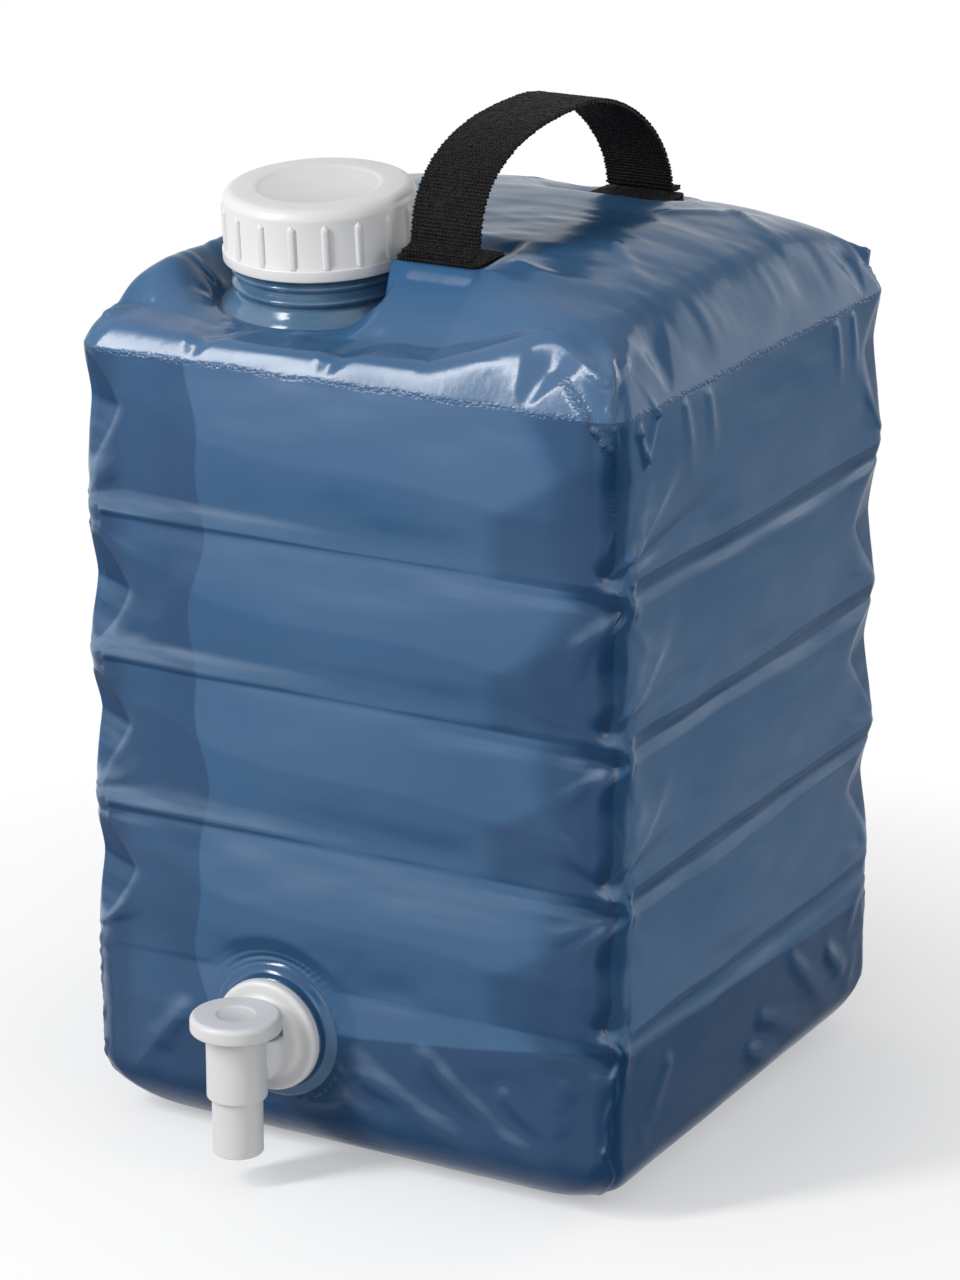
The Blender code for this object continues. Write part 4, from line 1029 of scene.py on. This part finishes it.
def swept_mesh(name, rings, place=Matrix()):
    """Rings of points joined one to the next, with both ends closed."""
    bm = bmesh.new()
    rings = [[bm.verts.new(point) for point in ring] for ring in rings]
    for before, after in zip(rings, rings[1:]):
        for n in range(len(before)):
            m = (n + 1) % len(before)
            bm.faces.new((before[n], before[m], after[m], after[n]))
    bm.faces.new(rings[0])
    bm.faces.new(rings[-1])
    return finished(bm, name, place)


def turned_mesh(name, profile, place, steps=128):
    """A profile of (radius, height), turned about the place's own axis."""
    bm = bmesh.new()
    angles = [2 * math.pi * n / steps for n in range(steps)]
    rings = []
    for radius, height in profile:
        if radius < 1e-6:
            rings.append([bm.verts.new((0, 0, height))] * steps)
        else:
            rings.append([bm.verts.new(on_turn(radius, angle, height)) for angle in angles])
    pairs = list(zip(rings, rings[1:]))
    if profile[0][0] > 1e-6:
        pairs.append((rings[-1], rings[0]))
    for upper, lower in pairs:
        for n in range(steps):
            m = (n + 1) % steps
            bm.faces.new(list(dict.fromkeys((upper[n], upper[m], lower[m], lower[n]))))
    return finished(bm, name, place)


def arc(centre_radius, centre_height, radius, start, stop, steps=8):
    """Points of a round edge, turned from start to stop in degrees."""
    angles = [math.radians(start + (stop - start) * n / steps) for n in range(steps + 1)]
    return [(centre_radius + radius * math.cos(a), centre_height + radius * math.sin(a)) for a in angles]


def join_meshes(name, meshes):
    bm = bmesh.new()
    for mesh in meshes:
        bm.from_mesh(mesh)
    made = bpy.data.meshes.new(name)
    bm.to_mesh(made)
    bm.free()
    return made


def thread_mesh(name, radius, start, turns, way):
    """A right-hand screw thread on the neck's axis: way is 1 out of the neck and -1 into the cap."""
    pitch, depth, steps = 0.006, 0.0019, 72
    total = round(turns * steps)
    rings = []
    for step in range(total + 1):
        taper = float(smoothstep(min(step, total - step) / 9))
        outer = radius + way * depth * (0.15 + 0.85 * taper)
        inner = radius - way * 0.0006
        flank = outer - way * 0.0002
        section = ((inner, -0.0013), (flank, -0.0008), (outer, -0.0005),
                   (outer, 0.0005), (flank, 0.0008), (inner, 0.0013))
        rise = start + pitch * step / steps
        rings.append([on_turn(r, 2 * math.pi * step / steps, rise + z) for r, z in section])
    return swept_mesh(name, rings, NECK_PLACE)


def link_all(tree, *pairs):
    for source, target in pairs:
        tree.links.new(source, target)


def geometry_tree(name, **sizes):
    """A Geometry Nodes tree with a mesh input and output, named sizes and the material of what it makes."""
    tree = bpy.data.node_groups.new(name, "GeometryNodeTree")
    tree.interface.new_socket("Geometry", in_out="INPUT", socket_type="NodeSocketGeometry")
    tree.interface.new_socket("Geometry", in_out="OUTPUT", socket_type="NodeSocketGeometry")
    for label, kind in (*sizes.items(), ("Finish", "Material")):
        tree.interface.new_socket(label, in_out="INPUT", socket_type=f"NodeSocket{kind}")
    return tree, tree.nodes.new("NodeGroupInput").outputs, tree.nodes.new("NodeGroupOutput").inputs[0]


def finish_copies(tree, given, result, copies):
    """Make the copies real, give them their material and send them out."""
    real = node_of(tree, "GeometryNodeRealizeInstances")
    finish = node_of(tree, "GeometryNodeSetMaterial")
    link_all(tree, (copies, real.inputs[0]), (real.outputs[0], finish.inputs["Geometry"]),
             (given["Finish"], finish.inputs["Material"]), (finish.outputs[0], result))
    return tree


def grow(obj, tree, values):
    """Run a tree on an object and return the plain mesh that it makes."""
    modifier = obj.modifiers.new(tree.name, "NODES")
    modifier.node_group = tree
    for item in tree.interface.items_tree:
        if item.in_out == "INPUT" and item.name in values:
            modifier[item.identifier] = values[item.name]
    mesh = settled(obj)
    bpy.data.objects.remove(obj)
    return mesh


def rib_blank(width, proud, height):
    """One of the cap's grip bars: a half-round bar with a round top, standing on its foot."""
    rings = []
    for z in height * np.linspace(0, 1, 13):
        lack = max(z - (height - width / 2), 0) / (width / 2)
        half = width / 2 * math.sqrt(max(1 - lack**2, 0.0009))
        out = proud * (1 - 0.9 * lack**2)
        side = [(-0.0012, 1), (0, 1), (0.72 * out, 0.72), (out, 0.35)]
        rings.append([(o, -a * half, z) for o, a in side] + [(o, a * half, z) for o, a in side[::-1]])
    return swept_mesh("grip_bar", rings)


def ring_tree():
    """Copies of a piece stood round a ring."""
    tree, given, result = geometry_tree("ring_of_bars", Count="Int", Radius="Float", Height="Float")
    ring = node_of(tree, "GeometryNodeMeshCircle")
    place = node_of(tree, "GeometryNodeInputPosition")
    turn = node_of(tree, "FunctionNodeAlignRotationToVector", axis="X")
    copies = node_of(tree, "GeometryNodeInstanceOnPoints")
    lift = node_of(tree, "ShaderNodeCombineXYZ")
    move = node_of(tree, "GeometryNodeTransform")
    link_all(tree, (given["Count"], ring.inputs["Vertices"]), (given["Radius"], ring.inputs["Radius"]),
             (place.outputs[0], turn.inputs["Vector"]), (ring.outputs[0], copies.inputs["Points"]),
             (given["Geometry"], copies.inputs["Instance"]), (turn.outputs[0], copies.inputs["Rotation"]),
             (given["Height"], lift.inputs["Z"]), (copies.outputs[0], move.inputs["Geometry"]),
             (lift.outputs[0], move.inputs["Translation"]))
    return finish_copies(tree, given, result, move.outputs[0])


def make_cap():
    """The white screw cap: domed edge, shallow recess, grip bars over a lower band, thread inside."""
    radius, band, bore = 0.0333, 0.0343, 0.0318
    base, ceiling, top = 0.0160, 0.0385, 0.0407
    recess, depth, edge, round_off = 0.0218, 0.0007, 0.0042, 0.0006
    bar_count, bar_width, bar_depth, bar_height, bar_foot = 18, 0.0030, 0.0009, 0.0152, base + 0.0046
    profile = [(0, top - depth), (recess - 0.0016, top - depth)]
    profile += [(recess - 0.0008, top - 0.55 * depth), (recess, top - 0.10 * depth), (recess + 0.0010, top)]
    profile += arc(radius - edge, top - edge, edge, 90, 0, 12)
    profile += [(radius + 0.0001, base + 0.0056), (radius + 0.0004, base + 0.0049)]
    profile += arc(band - round_off, base + 0.0036, round_off, 80, 0, 4)
    profile += arc(band - round_off, base + round_off, round_off, 0, -90, 4)
    profile += [(bore, base), (bore, ceiling), (0, ceiling)]
    shell = turned_mesh("cap_shell", profile, NECK_PLACE, 144)
    thread = thread_mesh("cap_thread", bore, start=0.0185, turns=1.25, way=-1)
    blank = put_in_scene("grip_bar", rib_blank(bar_width, bar_depth, bar_height))
    bars = grow(blank, ring_tree(), {"Count": bar_count, "Radius": radius, "Height": bar_foot,
                                     "Finish": materials["white_cap"]})
    bars.transform(NECK_PLACE @ Matrix.Rotation(math.radians(4), 4, "Z"))
    mesh = join_meshes("cap_body", [shell, bars, thread])
    piece_of("cap_body", mesh, "white_cap", "cap", ["cap"])


def make_neck():
    """The clear blue spout: two rings under the cap, a waist and a foot that flares into the film."""
    core, bore, height, lip = 0.0292, 0.0265, 0.0368, 0.0008
    bead, waist, collar = 0.0316, 0.0300, 0.0330
    profile = arc(core - lip, height - lip, lip, 0, 90, 4) + arc(bore + lip, height - lip, lip, 90, 180, 4)
    profile += [(bore, -0.0024), (0.0355, -0.0024), (0.0360, -0.0012), (0.0352, 0.0004), (0.0338, 0.0016)]
    profile += [(collar - 0.0004, 0.0028), (0.0318, 0.0040), (0.0308, 0.0052)]
    for top in (0.0085, 0.0137):
        profile += [(waist, top - 0.0030), (bead - 0.0006, top - 0.0021)]
        profile += arc(bead - 0.0006, top - 0.0009, 0.0009, -50, 50, 5)
        profile += [(waist, top + 0.0004)]
    profile += [(core, 0.0150)]
    body = turned_mesh("neck_tube", profile, NECK_PLACE, 144)
    thread = thread_mesh("neck_thread", core, start=0.0215, turns=1.5, way=1)
    mesh = join_meshes("neck_body", [body, thread])
    piece_of("neck_body", mesh, "clear_blue", "top", ["neck_spout"])


def make_boss():
    """The blue ring welded to the film round the tap, stepped in rings."""
    front, hole, hub, radius = 0.0021, 0.0109, 0.0139, 0.0250
    profile = [(hole, front), (0.0186, front)]
    profile += [(0.0192, front - 0.0005), (0.0198, 0.0015), (0.0212, 0.0016), (0.0218, 0.0012)]
    profile += [(0.0224, 0.0009), (0.0238, 0.0009), (0.0246, 0.0005), (radius, 0.0001)]
    profile += [(radius, -0.0006), (hub, -0.0006), (hub, -0.0024), (hole, -0.0024)]
    mesh = turned_mesh("tap_ring", profile, TAP_PLACE, 128)
    piece_of("tap_ring", mesh, "film_boss", "base", ["tap_boss"])


def boolean(obj, mesh, operation, solver="EXACT"):
    """Join a tool's shape to the object, or cut it away."""
    tool = put_in_scene("tool", mesh)
    step = obj.modifiers.new("step", "BOOLEAN")
    step.operation = operation
    step.solver = solver
    step.object = tool
    obj.data = settled(obj)
    bpy.data.objects.remove(tool)


def rod(radius, bottom, top, place, steps=72):
    return turned_mesh("rod", [(0, top), (radius, top), (radius, bottom), (0, bottom)], place, steps)


def cleared_of_slivers(mesh):
    """The mesh in triangles, without the slivers that the cuts leave."""
    least = 1e-6
    bm = bmesh.new()
    bm.from_mesh(mesh)
    bmesh.ops.remove_doubles(bm, verts=bm.verts, dist=least)
    for _ in range(2):
        bmesh.ops.dissolve_degenerate(bm, dist=least, edges=bm.edges)
        bmesh.ops.triangulate(bm, faces=bm.faces, ngon_method="BEAUTY")
    bm.to_mesh(mesh)
    bm.free()
    return mesh


# The bores in the upright barrel, as radius, bottom and top: valve chamber, spring pocket, stem guide,
# valve seat and nozzle socket
TAP_BORES = ((0.0082, 0.0381, 0.0502), (0.0082, 0.0532, 0.0585), (0.0028, 0.0482, 0.0552),
             (0.0052, 0.0346, 0.0401), (0.0092, 0.0310, 0.0366))
# In the same way: the room cut out under the button, the upright barrel, the shank's bore, and the passage
# from there to the valve chamber, which lies at a height of its own
BUTTON_ROOM = (0.0164, 0.0531, 0.0735)
UPRIGHT_BARREL = (0.0106, 0.0330, 0.0565)
SHANK_BORE = (0.0070, -0.0205, 0.0071)
PASSAGE = (0.0042, 0.0051, 0.0219)
PASSAGE_Z = 0.0445
TAP_GRAIN = 0.00042  # how finely the tap's moulding is divided


def make_tap_body():
    """The white tap: flange, thick barrel, upright barrel and the bores inside, with moulded fillets."""
    flange, flange_back, flange_front, rim = 0.0203, 0.0039, 0.0081, 0.0018
    barrel, nose, nose_flat, nose_depth = 0.0136, 0.0225, 0.0080, 0.0070
    shank, shank_end, fillet = 0.0105, -0.0185, 0.0026
    profile = [(0, nose)]
    profile += [(nose_flat + (barrel - nose_flat) * math.sin(a), nose - nose_depth * (1 - math.cos(a)))
                for a in np.linspace(0, math.pi / 2, 10)]
    profile += [(barrel, flange_front + fillet)]
    profile += [(barrel + fillet * (1 - math.cos(a)), flange_front + fillet * (1 - math.sin(a)))
                for a in np.linspace(0.2, math.pi / 2, 6)]
    profile += arc(flange - rim, flange_front - rim, rim, 90, 0, 6)
    profile += [(flange, flange_back), (shank, flange_back), (shank, shank_end), (0, shank_end)]
    body = put_in_scene("tap_moulding", turned_mesh("tap_moulding", profile, TAP_PLACE, 96))
    boolean(body, rod(*BUTTON_ROOM, UPRIGHT_PLACE), "DIFFERENCE")
    boolean(body, rod(*UPRIGHT_BARREL, UPRIGHT_PLACE), "UNION")
    remesh = body.modifiers.new("moulding", "REMESH")
    remesh.mode = "VOXEL"
    remesh.voxel_size = TAP_GRAIN
    smooth = body.modifiers.new("fillets", "SMOOTH")
    smooth.iterations = 5
    smooth.factor = 0.5
    body.data = settled(body)
    passage_place = TAP_PLACE @ Matrix.Translation((0, PASSAGE_Z - TAP_Z, 0))
    bores = [(*bore, UPRIGHT_PLACE) for bore in TAP_BORES]
    for bore in (*bores, (*SHANK_BORE, TAP_PLACE), (*PASSAGE, passage_place)):
        boolean(body, rod(*bore, 48), "DIFFERENCE", "MANIFOLD")
    mesh = cleared_of_slivers(body.data)
    bpy.data.objects.remove(body)
    piece_of("tap_housing", mesh, "white_tap", "base", ["tap_body"], 60)


def make_nozzle():
    outer, bore, foot, top, edge, bevel = 0.0089, 0.0076, 0.0120, 0.0363, 0.0006, 0.0004
    profile = [(bore, top), (outer, top)] + arc(outer - edge, foot + edge, edge, 0, -90, 5)
    profile += arc(bore + bevel, foot + bevel, bevel, -90, -180, 4)
    mesh = turned_mesh("spout_tube", profile, UPRIGHT_PLACE, 96)
    piece_of("spout_tube", mesh, "white_tap", "base", ["tap_nozzle"])


def make_button():
    """The tap's mushroom button with a rounded rim and a shallow round recess."""
    radius, top, foot, edge = 0.0160, 0.0635, 0.0575, 0.0020
    recess, depth, ceiling = 0.0068, 0.0005, 0.0617
    profile = [(0, top - depth), (recess - 0.0009, top - depth), (recess - 0.0004, top - 0.6 * depth),
               (recess, top - 0.1 * depth), (recess + 0.0006, top)]
    profile += arc(radius - edge, top - edge, edge, 90, 0, 10)
    profile += arc(radius - 0.0010, foot + 0.0010, 0.0010, 0, -90, 6)
    profile += [(radius - 0.0024, foot), (radius - 0.0024, ceiling), (0, ceiling)]
    mesh = turned_mesh("push_button", profile, UPRIGHT_PLACE, 112)
    piece_of("push_button", mesh, "white_tap", "button", ["tap_button"])


def make_button_spring():
    """The coil under the button."""
    lo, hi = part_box("button_spring")
    wire, turns, steps, travel = 0.0004, 3.5, 24, 0.0040
    length = hi.z - lo.z
    coil = (hi.x - lo.x) / 2 - wire
    around = np.linspace(0, 2 * math.pi, 10, endpoint=False)
    rings = []
    for step in range(round(turns * steps) + 1):
        angle = 2 * math.pi * step / steps
        rise = lo.z + wire + (length - 2 * wire) * step / (turns * steps)
        rings.append([on_turn(coil + wire * math.cos(a), angle, rise + wire * math.sin(a)) for a in around])
    mesh = swept_mesh("button_coil", rings, UPRIGHT_PLACE)
    piece = piece_of("button_coil", mesh, "steel", "base", ["button_spring"], 60)
    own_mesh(piece)


# The handle: woven webbing

# Length, width and thickness of one yarn
STRAP_YARN = (0.00180, 0.00142, 0.00100)
PATCH_YARN = (0.00185, 0.00170, 0.00095)
# Height above the film: of a patch's weave, and of the strap's feet
PATCH_LIFT = 0.0012
STRAP_LIFT = 0.0021


def surface_at(x, y):
    return float(top_height(np.array(x), np.array(y), dome_height(x, y)))


def patch_surface(y):
    return surface_at(HANDLE_X, y) + STRAP_LIFT


def arch_line():
    """The strap's middle line in the YZ plane, from the front foot to the rear one, and the way along it."""
    front, rear, crown_y, rise, thick = -0.0575, 0.0845, 0.018, 0.040, 0.0018
    crown_z = patch_surface(front) + rise - thick / 2
    places = []
    for bend, power, way in ((front, 2.6, -1), (rear, 1.75, 1)):
        foot_z = patch_surface(bend) + 0.0005 + thick / 2
        half = [(bend + way * out, patch_surface(bend + way * out) + 0.0014) for out in (0.0065, 0.0030)]
        for angle in np.linspace(0.02, math.pi / 2, 60):
            y = crown_y + way * abs(bend - crown_y) * math.cos(angle) ** (2 / power)
            z = foot_z + (crown_z - foot_z) * math.sin(angle) ** (2 / power)
            half.append((y, z))
        places += half if way < 0 else half[-2::-1]
    places = np.array(places)
    return places, np.r_[0, np.cumsum(np.linalg.norm(np.diff(places, axis=0), axis=1))]


def strap_frame(places, steps, distance):
    """Place and direction of the strap at a distance along it, in the YZ plane."""
    reach = 0.0015
    place, ahead, behind = (np.array([np.interp(d, steps, places[:, 0]), np.interp(d, steps, places[:, 1])])
                            for d in (distance, distance + reach, distance - reach))
    return place, (ahead - behind) / np.linalg.norm(ahead - behind)


def yarn_tree():
    """A yarn laid over each point, turned as the point says and sized by the tree's inputs."""
    tree, given, result = geometry_tree("laid_yarns", Length="Float", Width="Float", Thickness="Float")
    blob = node_of(tree, "GeometryNodeMeshUVSphere")
    for label, value in (("Segments", 6), ("Rings", 3), ("Radius", 0.5)):
        blob.inputs[label].default_value = value
    size = node_of(tree, "ShaderNodeCombineXYZ")
    yarn = node_of(tree, "GeometryNodeTransform")
    turn = node_of(tree, "GeometryNodeInputNamedAttribute", data_type="FLOAT_VECTOR")
    turn.inputs["Name"].default_value = "turn"
    copies = node_of(tree, "GeometryNodeInstanceOnPoints")
    link_all(tree, (given["Width"], size.inputs["X"]), (given["Thickness"], size.inputs["Y"]),
             (given["Length"], size.inputs["Z"]), (blob.outputs[0], yarn.inputs["Geometry"]),
             (size.outputs[0], yarn.inputs["Scale"]), (given["Geometry"], copies.inputs["Points"]),
             (yarn.outputs[0], copies.inputs["Instance"]),
             (turn.outputs["Attribute"], copies.inputs["Rotation"]))
    return finish_copies(tree, given, result, copies.outputs[0])


def laid_yarns(name, places, size):
    """Yarns at places given as (place, direction of the yarn, outward direction)."""
    mesh = bpy.data.meshes.new(name)
    mesh.from_pydata([tuple(p) for p, _, _ in places], [], [])
    turns = []
    for _, along, out in places:
        z = Vector(along).normalized()
        y = Vector(out)
        y = (y - z * y.dot(z)).normalized()
        turns += Matrix((y.cross(z), y, z)).transposed().to_euler()[:]
    mesh.attributes.new("turn", "FLOAT_VECTOR", "POINT").data.foreach_set("vector", turns)
    values = dict(zip(("Length", "Width", "Thickness"), size), Finish=materials["webbing"])
    return grow(put_in_scene(name, mesh), yarn_tree(), values)


def strap_core(rows, x_middle):
    """The flat band inside the strap, with rounded edges; rows are (place, direction) in the YZ plane."""
    half_width, thickness = 0.0130, 0.0011
    rings = []
    for place, way in rows:
        up = np.array([-way[1], way[0]])
        if up[1] < 0 and abs(way[1]) < 0.3:
            up = -up
        ring = []
        for across, out in ((-1, 0), (-0.97, 0.5), (0.97, 0.5), (1, 0), (0.97, -0.5), (-0.97, -0.5)):
            ring.append((x_middle + across * half_width, *(place + up * out * thickness)))
        rings.append(ring)
    return swept_mesh("strap_core", rings)


def make_strap():
    """The handle: rows of slanting yarns over a flat band, arched from patch to patch."""
    rng = draws(20)
    places, steps = arch_line()
    x_middle = HANDLE_X + 0.0004
    half_width, lift, pitch, columns = 0.0132, 0.00052, 0.00132, 21
    core = strap_core([strap_frame(places, steps, d) for d in np.linspace(0, steps[-1], 130)], x_middle)
    yarns = []
    for row in range(round(steps[-1] / pitch) + 1):
        place, way = strap_frame(places, steps, min(row * pitch, steps[-1]))
        up = np.array([-way[1], way[0]])
        shift = 0.10 if row % 2 else -0.10
        for column in range(columns):
            x = x_middle + half_width * ((column + 0.5 + shift) / columns * 2 - 1)
            slant = 0.42 if (column + row) % 2 else 0.25
            for face in (1, -1):
                jitter = rng.uniform(-0.00012, 0.00012, 3)
                centre = place + up * face * lift + jitter[:2]
                yarns.append(((x + jitter[2], *centre), (1.0, *(way * slant)), (0, *(up * face))))
    woven = laid_yarns("strap_yarns", yarns, STRAP_YARN)
    mesh = join_meshes("strap_web", [core, woven])
    piece_of("strap_web", mesh, "webbing", "top", ["handle_strap"], 80)


def patch_height(x, y):
    return surface_at(x, y) + PATCH_LIFT


def make_patch(node, label):
    """A webbing patch with round corners under one foot of the strap, its edge bound with upright yarns."""
    rng = draws(21)
    lo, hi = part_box(node)
    centre_x, centre_y = (lo.x + hi.x) / 2, (lo.y + hi.y) / 2
    half_x, half_y, corner = (hi.x - lo.x) / 2 - 0.0006, (hi.y - lo.y) / 2 - 0.0006, 0.0022
    edge = []
    for sx, sy, first in ((1, 1, 0), (-1, 1, 90), (-1, -1, 180), (1, -1, 270)):
        for angle in np.radians(np.linspace(first, first + 90, 6)):
            edge.append((centre_x + sx * (half_x - corner) + corner * math.cos(angle),
                         centre_y + sy * (half_y - corner) + corner * math.sin(angle)))
    faces = [[(x, y, patch_height(x, y) + rise) for x, y in edge] for rise in (0.0002, -0.0009)]
    slab = swept_mesh(f"{label}_slab", faces)
    yarns = []
    pitch_x, pitch_y, pitch_edge = 0.00135, 0.00165, 0.0012
    for row in range(int(2 * half_y / pitch_y) + 1):
        for column in range(int(2 * half_x / pitch_x) + 1):
            x = centre_x - half_x + (column + (0.25 if row % 2 else 0.75)) * pitch_x
            y = centre_y - half_y + (row + 0.5) * pitch_y
            past_x = max(abs(x - centre_x) - half_x + corner, 0)
            past_y = max(abs(y - centre_y) - half_y + corner, 0)
            if math.hypot(past_x, past_y) <= corner + 1e-6:
                jitter = rng.uniform(-0.00015, 0.00015, 2)
                place = (x + jitter[0], y + jitter[1], patch_height(x, y) + 0.00015)
                yarns.append((place, (1, 0.45 if (row + column) % 2 else 0.2, 0), (0, 0, 1)))
    for (xa, ya), (xb, yb) in zip(edge, edge[1:] + edge[:1]):
        length = math.hypot(xb - xa, yb - ya)
        count = max(round(length / pitch_edge), 1)
        for n in range(count):
            share = (n + 0.5) / count
            x, y = xa + (xb - xa) * share, ya + (yb - ya) * share
            along = (0.35 * (xb - xa), 0.35 * (yb - ya), 0.6 * length)
            yarns.append(((x, y, patch_height(x, y) - 0.0003), along, (x - centre_x, y - centre_y, 0)))
    woven = laid_yarns(f"{label}_yarns", yarns, PATCH_YARN)
    piece_of(label, join_meshes(label, [slab, woven]), "webbing", "top", [node], 80)


# What stays as packed gets a finish of its own

def dress_nodes():
    rubber = ["cap_seal", "tap_outer_washer", "tap_inner_washer", "valve_seal", "stem_seal_ring"]
    for node in [*rubber, "tap_locknut", "tap_stem"]:
        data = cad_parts[node].data
        data.materials.clear()
        data.materials.append(materials["rubber" if node in rubber else "white_tap"])


# Floor, light and camera

CAMERA_TURN = math.radians(29.04)
CAMERA_TILT = math.radians(18.5)
CAMERA_DISTANCE = 1.611
CAMERA_AIM = Vector((0, 0, 0.1651))
FOCAL_PIXELS = 4500
FRAME_HEIGHT = 1280
SHIFT_PIXELS = 11.9
LAMP_AIM = Vector((0, 0, 0.18))
# Direction, distance, width, height and radiance
LAMPS = {"key": ((-0.46, -0.72, 0.52), 1.35, 0.22, 0.90, 25.0),
         "front_fill": ((0.35, -0.90, 0.25), 1.5, 0.7, 0.7, 1.2),
         "rear_right": ((0.45, 0.83, 0.24), 1.5, 0.9, 0.8, 2.6),
         "right_fill": ((0.95, -0.25, 0.20), 1.4, 0.5, 0.9, 2.6)}
ROOM_LIGHT = 0.38  # how strongly the white room lights the object; the eye and the gloss see it in full
FLOOR_SIZE = 3.0
FLOOR_DROP = 0.0002
# From the first distance to the second the floor fades from the first share of clearness to the second
FLOOR_FADE = (0.12, 0.36, 0.38, 1.0)


def make_camera():
    data = bpy.data.cameras.new("camera")
    data.sensor_fit = "VERTICAL"
    data.sensor_height = 36
    data.lens = FOCAL_PIXELS / FRAME_HEIGHT * data.sensor_height
    data.shift_x = -SHIFT_PIXELS / FRAME_HEIGHT
    turn, tilt = CAMERA_TURN, CAMERA_TILT
    way = Vector((-math.sin(turn) * math.cos(tilt), math.cos(turn) * math.cos(tilt), -math.sin(tilt)))
    camera = put_in_scene("camera", data)
    camera.location = CAMERA_AIM - way * CAMERA_DISTANCE
    camera.rotation_euler = way.to_track_quat("-Z", "Y").to_euler()
    bpy.context.scene.camera = camera


def softbox(name, direction, distance, width, height, radiance):
    """A flat lamp that faces the object; radiance is how bright its face looks."""
    data = bpy.data.lights.new(name, "AREA")
    data.shape = "RECTANGLE"
    data.size, data.size_y = width, height
    data.energy = radiance * math.pi * width * height
    way = Vector(direction).normalized()
    lamp = put_in_scene(name, data)
    lamp.location = LAMP_AIM + way * distance
    lamp.rotation_euler = (-way).to_track_quat("-Z", "Y").to_euler()


def make_lights():
    for name, lamp in LAMPS.items():
        softbox(name, *lamp)


def shown_to_eye(tree):
    """1 for what the camera sees itself, in gloss or through clear film."""
    path = node_of(tree, "ShaderNodeLightPath").outputs
    seen = combined(tree, "MAXIMUM", path["Is Camera Ray"], path["Is Glossy Ray"])
    return combined(tree, "MAXIMUM", seen, path["Is Transmission Ray"])


def make_world():
    world = bpy.data.worlds.new("studio")
    bpy.context.scene.world = world
    world.use_nodes = True
    background = world.node_tree.nodes["Background"]
    background.inputs["Color"].default_value = (1, 1, 1, 1)
    strength = range_of(world.node_tree, shown_to_eye(world.node_tree), 0, 1, ROOM_LIGHT, 1.0)
    world.node_tree.links.new(strength, background.inputs["Strength"])


def make_floor():
    """A pale floor that keeps the shadow and fades into the white all round."""
    bpy.ops.mesh.primitive_plane_add(size=FLOOR_SIZE, location=(0, 0, -FLOOR_DROP))
    floor = bpy.context.object
    floor.name = "floor"
    made = bpy.data.materials.new("pale_floor")
    made.use_nodes = True
    tree = made.node_tree
    tree.nodes.clear()
    output = node_of(tree, "ShaderNodeOutputMaterial")
    paint = node_of(tree, "ShaderNodeBsdfDiffuse")
    paint.inputs["Color"].default_value = (0.93, 0.93, 0.93, 1)
    clear = node_of(tree, "ShaderNodeBsdfTransparent")
    where = node_of(tree, "ShaderNodeTexCoord")
    length = node_of(tree, "ShaderNodeVectorMath", operation="LENGTH")
    mix = node_of(tree, "ShaderNodeMixShader")
    fade = range_of(tree, length.outputs["Value"], *FLOOR_FADE)
    link_all(tree, (where.outputs["Object"], length.inputs[0]), (fade, mix.inputs[0]),
             (paint.outputs[0], mix.inputs[1]), (clear.outputs[0], mix.inputs[2]),
             (mix.outputs[0], output.inputs["Surface"]))
    floor.data.materials.append(made)


make_materials()
make_film()
make_cap()
make_neck()
make_boss()
make_tap_body()
make_nozzle()
make_button()
make_button_spring()
make_strap()
make_patch("handle_patch_front", "front_patch")
make_patch("handle_patch_rear", "rear_patch")
dress_nodes()
make_camera()
make_lights()
make_world()
make_floor()
bpy.context.scene.view_settings.view_transform = "Standard"
